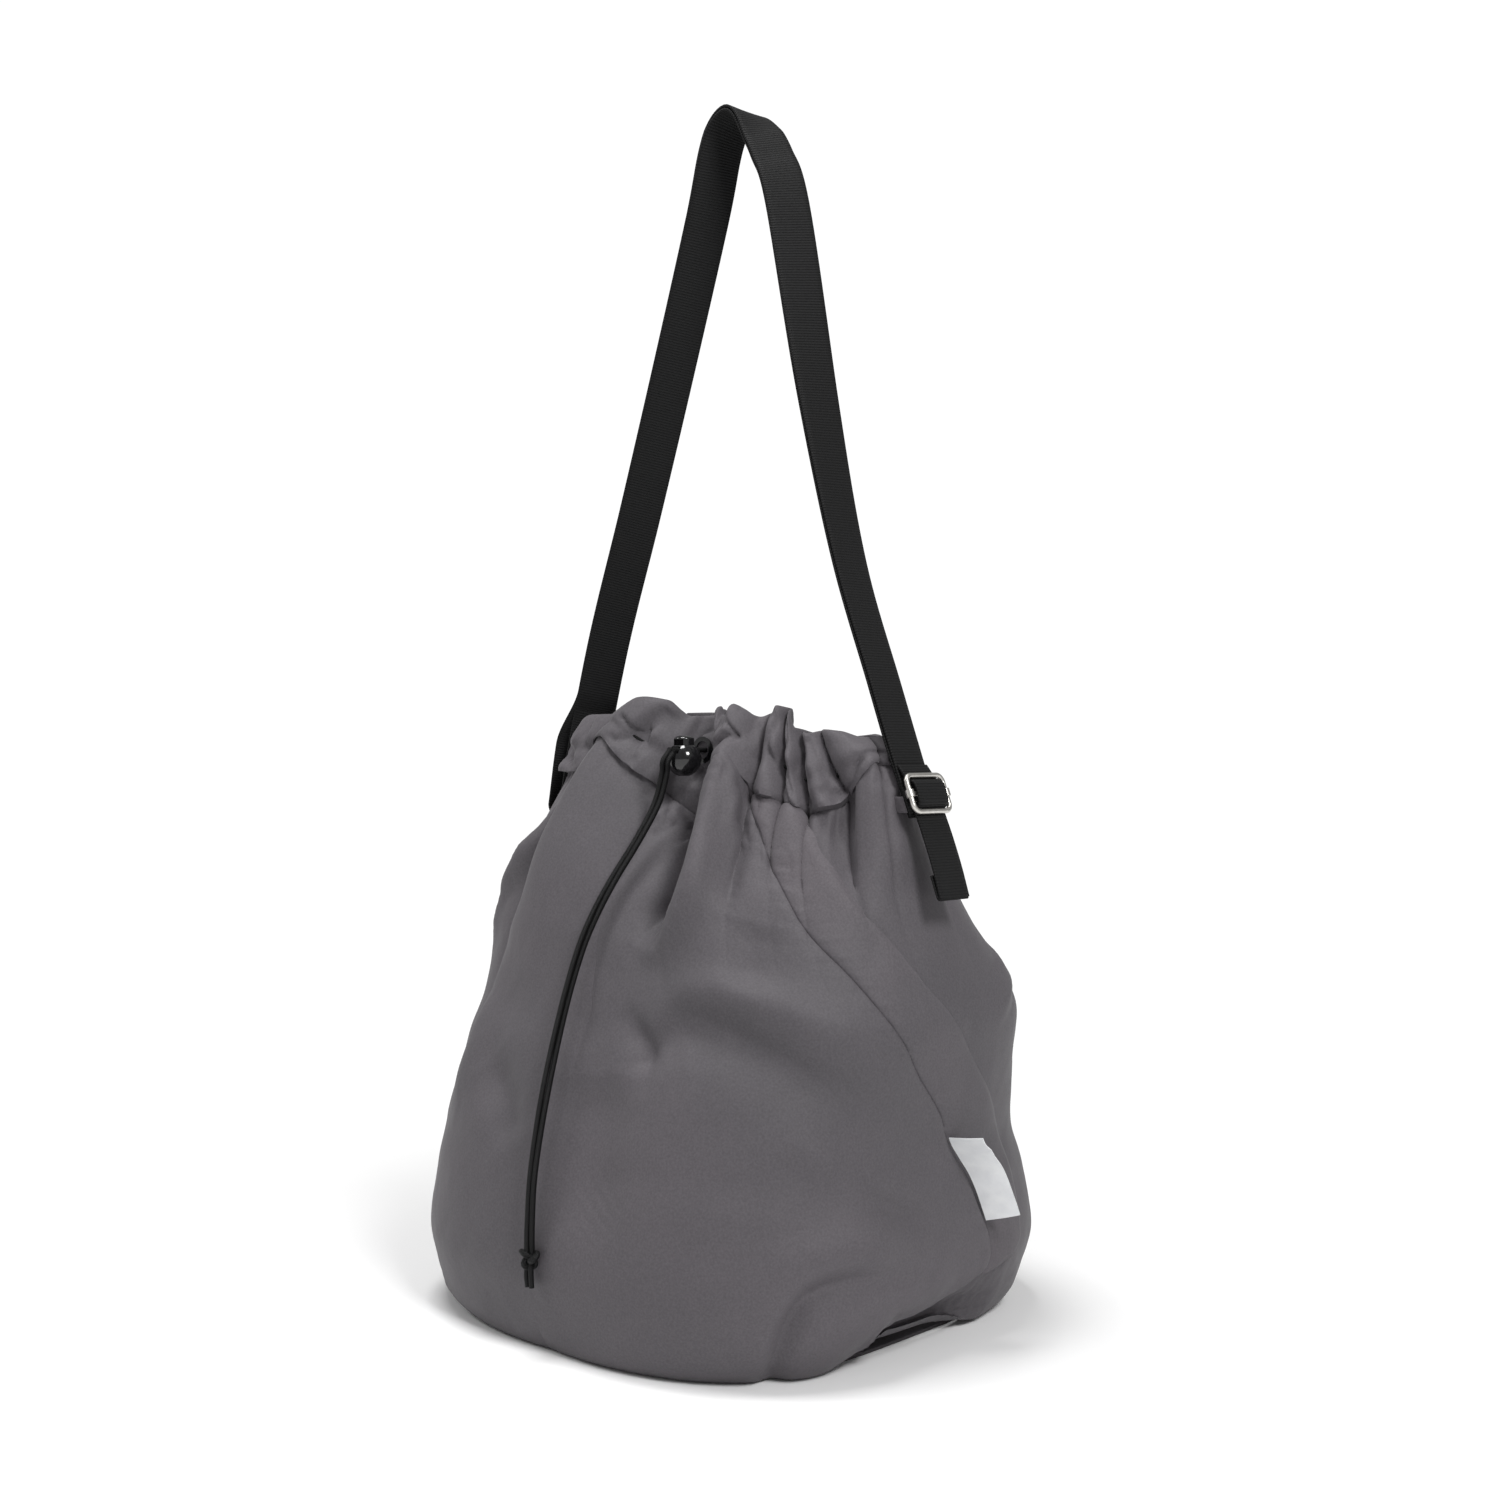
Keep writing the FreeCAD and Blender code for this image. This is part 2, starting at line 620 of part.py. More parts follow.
def slider_frame_body():
    body = doc.addObject("PartDesign::Body", "slider_frame")
    path = sketch_on(body, "slider_path", "YZ_Plane")
    half_width = (size("slider_width") - size("slider_wire")) / 2
    half_length = (size("slider_length") - size("slider_wire")) / 2
    corner = size("slider_corner")
    w = half_width - corner
    l = half_length - corner
    bow = corner * cos(pi / 4)
    stations = [
        ("line", (half_width, 0), (half_width, l)),
        ("arc", (half_width, l), (w + bow, l + bow), (w, half_length)),
        ("line", (w, half_length), (-w, half_length)),
        ("arc", (-w, half_length), (-w - bow, l + bow), (-half_width, l)),
        ("line", (-half_width, l), (-half_width, -l)),
        ("arc", (-half_width, -l), (-w - bow, -l - bow), (-w, -half_length)),
        ("line", (-w, -half_length), (w, -half_length)),
        ("arc", (w, -half_length), (w + bow, -l - bow), (half_width, -l)),
        ("line", (half_width, -l), (half_width, 0)),
    ]
    for kind, *points in stations:
        vectors = [Vector(x, y, 0) for x, y in points]
        path.addGeometry(Part.LineSegment(*vectors) if kind == "line" else Part.Arc(*vectors), False)
    wire = sketch_on(body, "slider_wire_section", "XY_Plane")
    circle(wire, "0", "( slider_width - slider_wire ) / 2", "slider_wire / 2")
    pipe = body.newObject("PartDesign::AdditivePipe", "slider_pipe")
    pipe.Profile = wire
    pipe.Spine = (path, [])
    body.Placement = slider_place
    return body


slider_frame = slider_frame_body()


def slider_bar_shape():
    span = "( slider_width - slider_wire )"
    rod = primitive("Cylinder", "bar_rod", ("0", f"{span} / 2", "0"), Radius="bar_radius", Height=span)
    rod.Placement.Rotation = facing_front
    solids = [rod]
    bores = []
    for side, word in ((-1, "near"), (1, "far")):
        place = ("0", f"{side} * {span} / 2", "-collar_length / 2")
        solids.append(primitive("Cylinder", f"collar_{word}", place, Radius="collar_radius",
                                Height="collar_length"))
        bores.append(primitive("Cylinder", f"collar_bore_{word}", ("0", f"{side} * {span} / 2", "-10"),
                               Radius="collar_bore", Height="20"))
    bar = cut("slider_bar", fuse("bar_solid", *solids), fuse("bar_bores", *bores))
    bar.Placement = slider_place
    return bar


slider_bar = slider_bar_shape()


def tail_shape():
    """Webbing from behind the slider's top wire, out over the bar, and down behind the bottom wire."""
    thickness = size("webbing_thickness")
    flat = size("foot_half_gap") + thickness + size("tail_clearance") + thickness / 2 - size("slider_offset")
    proud = size("bar_radius") + 0.4 + thickness / 2
    line = [(flat, 17), (flat, 13), (flat, 9.6), (flat + 0.5, 7.9), (proud - 0.5, 6.0), (proud, 3.5), (proud, 0)]
    line += [(x, -z) for x, z in reversed(line[:-1])]
    line = line[:-1] + [(flat, -17), (flat, -30), (flat, -size("tail_drop"))]
    points = dense([Vector(x, edge_y, z) for x, z in line], 5)
    half = [thickness / 2] * len(points)
    edges = side_points(points, half), side_points(points, [-h for h in half])[::-1]
    curves = []
    for edge in edges:
        curve = Part.BSplineCurve()
        curve.interpolate(edge)
        curves.append(curve.toShape())
    ends = [Part.makeLine(edges[0][-1], edges[1][0]), Part.makeLine(edges[1][-1], edges[0][0])]
    face = Part.Face(Part.Wire([curves[0], ends[0], curves[1], ends[1]]))
    return webbing_solid(face)


strap_tail = shape_feature("strap_tail", tail_shape())
strap_tail.Placement = slider_place

# ---------------------------------------------------------------- check and write
NODES = [
    base_panel, front_wall, back_wall, pocket_panel, pocket_edge_band, label_tab,
    front_casing, back_casing, left_casing_end, right_casing_end, cord_eyelet,
    drawstring_loop, drawstring_tails, cord_lock_barrel, cord_lock_plunger, cord_lock_spring,
    shoulder_strap, left_strap_tab, right_strap_tab, slider_frame, slider_bar, strap_tail,
]
doc.recompute()

for obj in doc.Objects:
    if "Invalid" in obj.State or "Error" in obj.State:
        raise RuntimeError(f"{obj.Name} failed: {obj.State}")
for node in NODES:
    if node.Shape.isNull() or not node.Shape.isValid() or not node.Shape.Solids:
        raise RuntimeError(f"{node.Name} has no valid solid")

os.makedirs("parts", exist_ok=True)
for node in NODES:
    node.Shape.exportStep(f"parts/{node.Label}.step")
    box = node.Shape.BoundBox
    print(node.Label, len(node.Shape.Solids), round(node.Shape.Volume / 1000, 3), "cm3",
          [round(v, 1) for v in (box.XMin, box.YMin, box.ZMin, box.XMax, box.YMax, box.ZMax)])
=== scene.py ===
import json
import math

import bpy
import numpy as np
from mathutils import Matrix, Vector


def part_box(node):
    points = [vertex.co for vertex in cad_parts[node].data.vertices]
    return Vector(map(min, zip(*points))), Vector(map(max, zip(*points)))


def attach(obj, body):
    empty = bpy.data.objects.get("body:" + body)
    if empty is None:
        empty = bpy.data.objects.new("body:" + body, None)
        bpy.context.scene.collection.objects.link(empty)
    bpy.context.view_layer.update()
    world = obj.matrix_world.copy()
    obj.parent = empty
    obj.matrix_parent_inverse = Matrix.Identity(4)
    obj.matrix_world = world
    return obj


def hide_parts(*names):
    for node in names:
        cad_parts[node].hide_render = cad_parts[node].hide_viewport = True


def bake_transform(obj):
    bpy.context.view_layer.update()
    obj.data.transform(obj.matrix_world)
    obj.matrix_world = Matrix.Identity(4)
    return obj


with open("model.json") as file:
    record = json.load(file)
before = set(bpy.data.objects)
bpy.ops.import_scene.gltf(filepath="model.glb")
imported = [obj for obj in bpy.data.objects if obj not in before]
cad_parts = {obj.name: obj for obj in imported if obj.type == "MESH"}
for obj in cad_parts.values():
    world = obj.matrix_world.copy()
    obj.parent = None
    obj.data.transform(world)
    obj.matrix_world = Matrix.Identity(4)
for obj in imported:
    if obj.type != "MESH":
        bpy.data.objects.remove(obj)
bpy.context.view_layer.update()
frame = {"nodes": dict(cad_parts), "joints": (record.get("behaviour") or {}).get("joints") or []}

MM = 0.001
CRISP_ANGLE = 65
rng = np.random.default_rng(7)


# ================================================================ sizes taken from the frame, in mm
def box_mm(node):
    low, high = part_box(node)
    return np.array(low) / MM, np.array(high) / MM


wall_low, wall_high = box_mm("front_wall")
base_high = box_mm("base_panel")[1]
rim_high = box_mm("front_casing")[1]
end_high = box_mm("right_casing_end")[1]
strap_low, strap_high = box_mm("shoulder_strap")
lock_low, lock_high = box_mm("cord_lock_barrel")
tails_low, tails_high = box_mm("drawstring_tails")
slider_low, slider_high = box_mm("slider_frame")
eyelet_low, eyelet_high = box_mm("cord_eyelet")
label_low, label_high = box_mm("label_tab")

BELLY_WIDTH = wall_high[0]
BELLY_DEPTH = -wall_low[1]
SEAM = wall_high[2]
RIM_TOP = rim_high[2]
RIM_WIDTH = end_high[0]
FOOT = np.array([strap_high[0] - 3.4, 0, strap_low[2] + 3.6])
TOP = strap_high[2]
CORD_SIDE = (lock_low[0] + lock_high[0]) / 2
CORD_HEIGHT = (eyelet_low[2] + eyelet_high[2]) / 2


# ================================================================ small helpers
def smooth(x, low=0.0, high=1.0):
    """0 below low, 1 above high, and smooth in between."""
    t = np.clip((np.asarray(x, float) - low) / (high - low), 0, 1)
    return t * t * (3 - 2 * t)


def curve_through(x, keys, values):
    """A smooth curve through key values that never overshoots them."""
    keys = np.asarray(keys, float)
    values = np.asarray(values, float)
    slope = np.diff(values) / np.diff(keys)
    tangent = np.zeros(len(keys))
    same = slope[1:] * slope[:-1] > 0
    tangent[1:-1] = np.where(same, 2 * slope[1:] * slope[:-1] / np.where(same, slope[1:] + slope[:-1], 1), 0)
    tangent[0] = slope[0]
    tangent[-1] = slope[-1]
    x = np.clip(np.asarray(x, float), keys[0], keys[-1])
    i = np.clip(np.searchsorted(keys, x) - 1, 0, len(slope) - 1)
    width = keys[i + 1] - keys[i]
    t = (x - keys[i]) / width
    start = values[i] * (1 + 2 * t) * (1 - t) ** 2 + tangent[i] * width * t * (1 - t) ** 2
    end = values[i + 1] * t * t * (3 - 2 * t) + tangent[i + 1] * width * t * t * (t - 1)
    return start + end


def unit(v):
    return v / np.maximum(np.linalg.norm(v, axis=-1, keepdims=True), 1e-9)


def lengths_along(line):
    """Distance along a line from its start to each of its points."""
    return np.concatenate([[0], np.cumsum(np.linalg.norm(np.diff(line, axis=0), axis=1))])


def read_line(places, known, line):
    """A 3-D line at places between the known ones."""
    return np.stack([np.interp(places, known, line[:, k]) for k in range(3)], axis=-1)


def wave_noise(u, z, seed, size, octaves=3):
    """Smooth noise round the bag, periodic in u; size is the width of its features in mm."""
    draw = np.random.default_rng(seed)
    total = np.zeros(np.broadcast(u, z).shape)
    around = 900.0 / size
    for octave in range(octaves):
        for _ in range(6):
            k = round(around * 2 ** octave * draw.uniform(0.3, 1.0)) * draw.choice([-1, 1])
            m = draw.uniform(-1, 1) * 2 * math.pi / size * 2 ** octave
            total += np.sin(2 * math.pi * k * u + m * z + draw.uniform(0, 2 * math.pi)) / 2 ** octave
    return total / 6


def mesh_object(name, points, faces, material):
    """A smooth-shaded mesh piece from points in mm, crisp where its faces turn sharply."""
    mesh = bpy.data.meshes.new(name)
    mesh.from_pydata((np.asarray(points) * MM).tolist(), [], [tuple(int(i) for i in f) for f in faces])
    mesh.validate()
    mesh.update()
    obj = bpy.data.objects.new(name, mesh)
    bpy.context.scene.collection.objects.link(obj)
    mesh.materials.append(material)
    mesh.polygons.foreach_set("use_smooth", [True] * len(mesh.polygons))
    mesh.set_sharp_from_angle(angle=math.radians(CRISP_ANGLE))
    return obj


def grid_faces(rows, columns, closed=False, start=0):
    """Quads of a grid of points stored row by row; closed joins the last column to the first."""
    r = np.arange(rows - 1)[:, None]
    c = np.arange(columns if closed else columns - 1)[None, :]
    a = start + r * columns + c
    b = start + r * columns + (c + 1) % columns
    return np.stack([a, b, b + columns, a + columns], axis=-1).reshape(-1, 4)


def thicken(points, normals, thickness):
    """A closed sheet: the grid, a copy moved inwards, and a strip round the border."""
    rows, columns, _ = points.shape
    outer = points.reshape(-1, 3).copy()
    inner = (points - normals * np.asarray(thickness)[..., None]).reshape(-1, 3)
    outer[:, 2] = np.maximum(outer[:, 2], 0.7)
    inner[:, 2] = np.maximum(inner[:, 2], 0.2)
    count = rows * columns
    faces = list(grid_faces(rows, columns))
    faces += [f[::-1] for f in grid_faces(rows, columns, start=count)]
    index = np.arange(count).reshape(rows, columns)
    border = np.concatenate([index[0, :-1], index[:-1, -1], index[-1, :0:-1], index[:0:-1, 0]])
    for a, b in zip(border, np.roll(border, -1)):
        faces.append((b, a, a + count, b + count))
    return np.concatenate([outer, inner]), faces


def rod_faces(rows, columns, caps=True):
    """Quads round a rod whose rings are the rows of a grid, and a cap at each end."""
    faces = [tuple(f) for f in grid_faces(rows, columns, closed=True)]
    if caps:
        faces.append(tuple(range(columns - 1, -1, -1)))
        faces.append(tuple((rows - 1) * columns + i for i in range(columns)))
    return faces


def grid_normals(points, closed=False):
    """Unit normals of a grid of points: the way along its columns crossed with the way up its rows."""
    if closed:
        across = np.roll(points, -1, axis=1) - np.roll(points, 1, axis=1)
    else:
        across = np.gradient(points, axis=1)
    along = np.gradient(points, axis=0)
    return unit(np.cross(across, along))


def modifier(obj, kind, **settings):
    made = obj.modifiers.new(kind.title(), kind)
    for key, value in settings.items():
        setattr(made, key, value)
    return made


# ================================================================ materials
def new_material(name):
    material = bpy.data.materials.new(name)
    material.use_nodes = True
    tree = material.node_tree
    tree.nodes.clear()
    out = tree.nodes.new("ShaderNodeOutputMaterial")
    shader = tree.nodes.new("ShaderNodeBsdfPrincipled")
    tree.links.new(shader.outputs[0], out.inputs[0])
    return material, tree, shader


def node(tree, kind, inputs=None, **settings):
    made = tree.nodes.new(kind)
    for key, value in settings.items():
        setattr(made, key, value)
    connect(tree, made, inputs or {})
    return made


def connect(tree, made, inputs):
    """Link or set a node's inputs; an input's value is another node's output or a plain value."""
    for key, value in inputs.items():
        if hasattr(value, "is_output"):
            tree.links.new(value, made.inputs[key])
        else:
            made.inputs[key].default_value = value


def noise_node(tree, position, scale, detail=3.0, roughness=0.55):
    made = node(tree, "ShaderNodeTexNoise", {"Vector": position, "Scale": scale, "Detail": detail,
                                             "Roughness": roughness})
    return made.outputs["Fac"]


def math_node(tree, operation, a, b=0.0):
    made = node(tree, "ShaderNodeMath", {0: a, 1: b}, operation=operation)
    return made.outputs[0]


def ramp_node(tree, factor, stops):
    made = node(tree, "ShaderNodeValToRGB", {"Fac": factor})
    elements = made.color_ramp.elements
    while len(elements) < len(stops):
        elements.new(0.5)
    for element, (position, colour) in zip(elements, stops):
        element.position = position
        element.color = (*colour, 1)
    return made.outputs["Color"]


def bump_node(tree, height, strength, distance, normal=None):
    made = node(tree, "ShaderNodeBump", {"Height": height, "Strength": strength, "Distance": distance})
    if normal is not None:
        tree.links.new(normal, made.inputs["Normal"])
    return made.outputs["Normal"]


def stripes(tree, coordinate, period, sharpness=1.0):
    """Rounded ridges across one coordinate, one each period."""
    turned = math_node(tree, "MULTIPLY", coordinate, math.pi / period)
    ridge = math_node(tree, "ABSOLUTE", math_node(tree, "SINE", turned))
    return math_node(tree, "POWER", ridge, sharpness)


def flecked(tree, base, factor, high, dark, light):
    """A colour multiplied by fine flecks between two tones."""
    fleck = ramp_node(tree, factor, [(0.3, (dark,) * 3), (high, (light,) * 3)])
    mixed = node(tree, "ShaderNodeMix", {0: 1.0, 6: base, 7: fleck}, data_type="RGBA", blend_type="MULTIPLY")
    return mixed.outputs[2]


def object_place(tree):
    return node(tree, "ShaderNodeTexCoord").outputs["Object"]


def ribbon_place(tree):
    """Distances along and across a ribbon or round a cord, from its UV map."""
    uv = node(tree, "ShaderNodeUVMap", uv_map="ribbon").outputs["UV"]
    xyz = node(tree, "ShaderNodeSeparateXYZ", {0: uv})
    return xyz.outputs["X"], xyz.outputs["Y"]


def map_range(tree, value, low, high):
    return node(tree, "ShaderNodeMapRange", {"Value": value, "To Min": low, "To Max": high}).outputs[0]


def cloth_material(name, colour, warm=1.0):
    """Fine plain-weave nylon: a tight weave, faint slubs, soft creases and a low sheen."""
    material, tree, shader = new_material(name)
    where = object_place(tree)
    thread = 0.42 * MM
    xyz = node(tree, "ShaderNodeSeparateXYZ", {0: where})
    diagonal = math_node(tree, "ADD", xyz.outputs["X"], xyz.outputs["Y"])
    warp = stripes(tree, diagonal, thread)
    weft = stripes(tree, xyz.outputs["Z"], thread)
    weave = math_node(tree, "MAXIMUM", warp, weft)
    tone = noise_node(tree, where, 9.0, 4.0)
    slub = noise_node(tree, where, 900.0, 2.0)
    dark = tuple(c * 0.90 for c in colour)
    light = (colour[0] * 1.09 * warm, colour[1] * 1.06, colour[2] * 1.07)
    base = ramp_node(tree, tone, [(0.3, dark), (0.7, light)])
    crease = noise_node(tree, where, 55.0, 5.0, 0.6)
    rumple = bump_node(tree, crease, 0.22, 1.6 * MM)
    connect(tree, shader, {
        "Base Color": flecked(tree, base, slub, 0.7, 0.86, 1.1),
        "Roughness": map_range(tree, tone, 0.56, 0.70),
        "Sheen Weight": 0.07,
        "Sheen Roughness": 0.4,
        "Specular IOR Level": 0.28,
        "Normal": bump_node(tree, weave, 0.25, 0.08 * MM, rumple),
    })
    return material


def webbing_material(name):
    """Black ribbed webbing: cross ribs along the strap and fine threads, with painted shade in the grooves
    between ribs and painted highlight on their tops.
    """
    material, tree, shader = new_material(name)
    along, across = ribbon_place(tree)
    ribs = stripes(tree, along, 1.55 * MM, 0.8)
    threads = stripes(tree, across, 0.75 * MM)
    fuzz = noise_node(tree, object_place(tree), 1500.0, 2.0)
    # the colour follows the ribs: painted shade in the grooves, painted highlight on the rib tops
    base = ramp_node(tree, ribs, [(0.1, (0.0012, 0.0012, 0.0013)), (0.95, (0.0085, 0.0085, 0.0088))])
    low = bump_node(tree, threads, 0.35, 0.12 * MM)
    connect(tree, shader, {
        "Base Color": flecked(tree, base, fuzz, 0.75, 0.75, 1.35),
        "Roughness": 0.6,
        "Sheen Weight": 0.02,
        "Specular IOR Level": 0.14,
        "Normal": bump_node(tree, ribs, 0.9, 0.28 * MM, low),
    })
    return material


def cord_material(name):
    """Black braid: two families of diagonal strands round the cord, with painted shade between the strands
    and painted highlight on their crowns.
    """
    material, tree, shader = new_material(name)
    along, across = ribbon_place(tree)
    pitch = 1.2 * MM
    left = stripes(tree, math_node(tree, "ADD", along, across), pitch)
    right = stripes(tree, math_node(tree, "SUBTRACT", along, across), pitch)
    braid = math_node(tree, "MULTIPLY", left, right)
    # the colour follows the braid: painted shade between strands, painted highlight on their crowns
    base = ramp_node(tree, braid, [(0.0, (0.0015, 0.0015, 0.0015)), (0.9, (0.009, 0.009, 0.0095))])
    connect(tree, shader, {
        "Base Color": base,
        "Roughness": 0.5,
        "Specular IOR Level": 0.2,
        "Normal": bump_node(tree, braid, 0.8, 0.25 * MM),
    })
    return material


def label_material(name):
    """White woven label tape: a satin weave with fine cross threads."""
    material, tree, shader = new_material(name)
    along, across = ribbon_place(tree)
    weave = math_node(tree, "MAXIMUM", stripes(tree, along, 0.35 * MM), stripes(tree, across, 0.5 * MM))
    tone = noise_node(tree, object_place(tree), 120.0, 3.0)
    connect(tree, shader, {
        "Base Color": ramp_node(tree, tone, [(0.3, (0.72, 0.73, 0.75)), (0.7, (0.82, 0.83, 0.84))]),
        "Roughness": 0.6,
        "Sheen Weight": 0.15,
        "Normal": bump_node(tree, weave, 0.5, 0.1 * MM),
    })
    return material


def nickel_material(name):
    """Satin nickel plate with fine brushing and slightly duller worn patches."""
    material, tree, shader = new_material(name)
    where = object_place(tree)
    wear = noise_node(tree, where, 260.0, 4.0)
    stretched = node(tree, "ShaderNodeMapping", {"Vector": where, "Scale": (1.0, 0.08, 1.0)}).outputs[0]
    brushing = noise_node(tree, stretched, 4000.0, 2.0)
    connect(tree, shader, {
        "Base Color": ramp_node(tree, wear, [(0.3, (0.60, 0.585, 0.55)), (0.7, (0.72, 0.705, 0.67))]),
        "Metallic": 1.0,
        "Roughness": map_range(tree, wear, 0.30, 0.42),
        "Normal": bump_node(tree, brushing, 0.12, 0.05 * MM),
    })
    return material


def lock_material(name):
    """Glossy black moulding with a faint orange-peel surface and fine scuffs."""
    material, tree, shader = new_material(name)
    where = object_place(tree)
    scuff = noise_node(tree, where, 700.0, 4.0)
    peel = noise_node(tree, where, 250.0, 2.0)
    connect(tree, shader, {
        "Base Color": ramp_node(tree, scuff, [(0.4, (0.004, 0.004, 0.0045)), (0.8, (0.012, 0.012, 0.013))]),
        "Roughness": map_range(tree, scuff, 0.08, 0.2),
        "Coat Weight": 0.4,
        "Normal": bump_node(tree, peel, 0.08, 0.1 * MM),
    })
    return material


GREY = (0.088, 0.082, 0.090)
cloth = cloth_material("grey_nylon", GREY)
# The edge band gets a slightly lighter, warmer copy of the same cloth: painted light on the band.
cloth_band_painted_light = cloth_material("grey_nylon_band_painted_light", tuple(c * 1.03 for c in GREY), warm=1.02)
# The base gets a much darker copy of the same cloth: painted shade under the bag.
cloth_painted_shade = cloth_material("grey_nylon_painted_shade", tuple(c * 0.55 for c in GREY))
webbing = webbing_material("black_webbing")
braid = cord_material("black_braid")
label_cloth = label_material("white_label")
nickel = nickel_material("satin_nickel")
gloss_black = lock_material("gloss_black")


# ================================================================ the cloth body as one surface S(u, z)
# u runs once round the bag by arc length: 0 at the +X side seam, 0.25 back, 0.5 at -X, 0.75 at the front.
# Sections: share of the seam's height, shares of the belly's half width and half depth, squareness,
# and how far the section leans towards the slider's side and the back, in mm.
SECTIONS = np.array([
    (0.000, 0.790, 0.800, 2.7, 0.0),
    (0.010, 0.872, 0.905, 2.6, -1.0),
    (0.048, 0.930, 0.945, 2.8, -3.0),
    (0.090, 0.968, 0.972, 2.8, -3.0),
    (0.160, 1.000, 1.000, 2.8, -2.5),
    (0.280, 0.982, 0.965, 2.8, -3.0),
    (0.360, 0.968, 0.932, 2.7, -3.5),
    (0.440, 0.962, 0.900, 2.7, 0.0),
    (0.520, 0.958, 0.862, 2.7, 3.5),
    (0.590, 0.955, 0.810, 2.7, 6.5),
    (0.670, 0.935, 0.745, 2.6, 2.5),
    (0.750, 0.905, 0.680, 2.5, -3.0),
    (0.830, 0.868, 0.613, 2.3, -5.0),
    (0.910, 0.815, 0.518, 2.1, -4.0),
    (1.000, 0.762, 0.385, 2.0, -1.0),
])


def section_at(z):
    """Half width, half depth, squareness and lean of the bag at a height."""
    share = np.asarray(z, float) / SEAM
    rows = [curve_through(share, SECTIONS[:, 0], SECTIONS[:, k]) for k in range(1, 5)]
    return rows[0] * BELLY_WIDTH, rows[1] * BELLY_DEPTH, rows[2], rows[3]


def oval(u, half_width, half_depth, power):
    """Points of one superellipse at shares u of its own length, from the +X side round by the back."""
    angle = np.linspace(0, math.pi / 2, 160)
    x = half_width * np.cos(angle) ** (2 / power)
    y = half_depth * np.sin(angle) ** (2 / power)
    length = np.concatenate([[0], np.cumsum(np.hypot(np.diff(x), np.diff(y)))])
    length /= length[-1]
    turn = (u % 1.0) * 4
    quarter = np.floor(turn).astype(int)
    t = turn - quarter
    mirrored = quarter % 2 == 1
    t = np.where(mirrored, 1 - t, t)
    px = np.interp(t, length, x)
    py = np.interp(t, length, y)
    px = np.where((quarter == 1) | (quarter == 2), -px, px)
    py = np.where(quarter >= 2, -py, py)
    return px, py


# Gathers of the rim: where each valley lies at the seam and at the rim's top, as shares round the mouth,
# and the puff of the lobe after it, in mm. The front ones are drawn one by one, the back ones are regular.
FRONT_GATHERS = [
    (0.530, 0.525, 9.0),
    (0.636, 0.655, 14.0),
    (0.752, 0.757, -13.0),
    (0.808, 0.787, 9.5),
    (0.853, 0.864, 4.5),
    (0.884, 0.882, 5.0),
    (0.908, 0.901, 5.5),
    (0.948, 0.921, 8.0),
    (0.975, 0.982, 4.5),
]
BACK_COUNT = 10
gap_start = FRONT_GATHERS[-1][0]
gap_end = FRONT_GATHERS[0][0] + 1
back_gathers = []
for i in range(1, BACK_COUNT):
    at = gap_start + (gap_end - gap_start) * (i + rng.uniform(-0.28, 0.28)) / BACK_COUNT
    back_gathers.append((at % 1, at % 1 + rng.uniform(-0.012, 0.012), rng.uniform(4.0, 7.5)))
GATHERS = np.array(sorted(FRONT_GATHERS + back_gathers))
VALLEY_DEPTH = 6.5

# Heights of the seam under the casing and of the rim's top, above their mean, all round the mouth.
SEAM_LINE = [
    (0.000, 13), (0.040, 7), (0.500, 5), (0.560, 8), (0.610, 8), (0.640, 15), (0.681, 29), (0.712, 16),
    (0.750, 1), (0.793, -5), (0.804, -2), (0.813, 12), (0.829, 16), (0.844, 9), (0.855, 0), (0.884, -6),
    (0.908, -10), (0.935, -8), (0.948, -1), (0.957, 9), (0.967, 15), (1.000, 13),
]
RIM_LINE = [
    (0.000, -15), (0.090, -14), (0.160, -14), (0.210, -12), (0.250, -7), (0.310, -1), (0.400, 0), (0.500, -2),
    (0.563, -1), (0.644, -1), (0.674, 6), (0.706, 8), (0.734, 6), (0.750, -3), (0.770, -2), (0.781, 0),
    (0.802, 2), (0.807, -3), (0.819, -3), (0.828, 3), (0.840, 0), (0.852, -4), (0.874, 2), (0.886, -1),
    (0.895, -10), (0.912, -13), (0.926, -11), (0.948, -12), (0.969, -15), (1.000, -15),
]


def height_line(u, line, wiggle, seed):
    """A drawn height line round the mouth, with gentle noise over the back."""
    keys = np.array(line, float)
    u = u % 1.0
    back = smooth(u, 0.0, 0.08) * (1 - smooth(u, 0.42, 0.5))
    return curve_through(u, keys[:, 0], keys[:, 1]) + back * wiggle * wave_noise(u, 0 * u, seed, 70, 2)


def seam_height(u):
    return SEAM + height_line(u, SEAM_LINE, 6.0, 11)


def rim_height(u):
    return RIM_TOP + height_line(u, RIM_LINE, 2.0, 12)


def gather_shape(u, level, roundness=0.62):
    """Signed puff of the gathers at share u; level is 0 at the seam and 1 at the rim's top."""
    u = np.asarray(u, float) % 1.0
    level = np.broadcast_to(level, u.shape)
    puff = np.zeros(u.shape)
    width = np.zeros(u.shape)
    count = len(GATHERS)
    for i in range(count):
        low = GATHERS[i, 0] + (GATHERS[i, 1] - GATHERS[i, 0]) * level
        after = GATHERS[(i + 1) % count]
        wrap = 1.0 if i == count - 1 else 0.0
        high = after[0] + wrap + (after[1] - after[0]) * level
        for shift in (0.0, 1.0, -1.0):
            t = (u + shift - low) / np.maximum(high - low, 1e-4)
            inside = (t >= 0) & (t < 1)
            bump = np.sin(math.pi * np.clip(t, 0, 1)) ** roundness
            puff = np.where(inside, (GATHERS[i, 2] + VALLEY_DEPTH) * bump - VALLEY_DEPTH, puff)
            width = np.where(inside, high - low, width)
    return puff, width


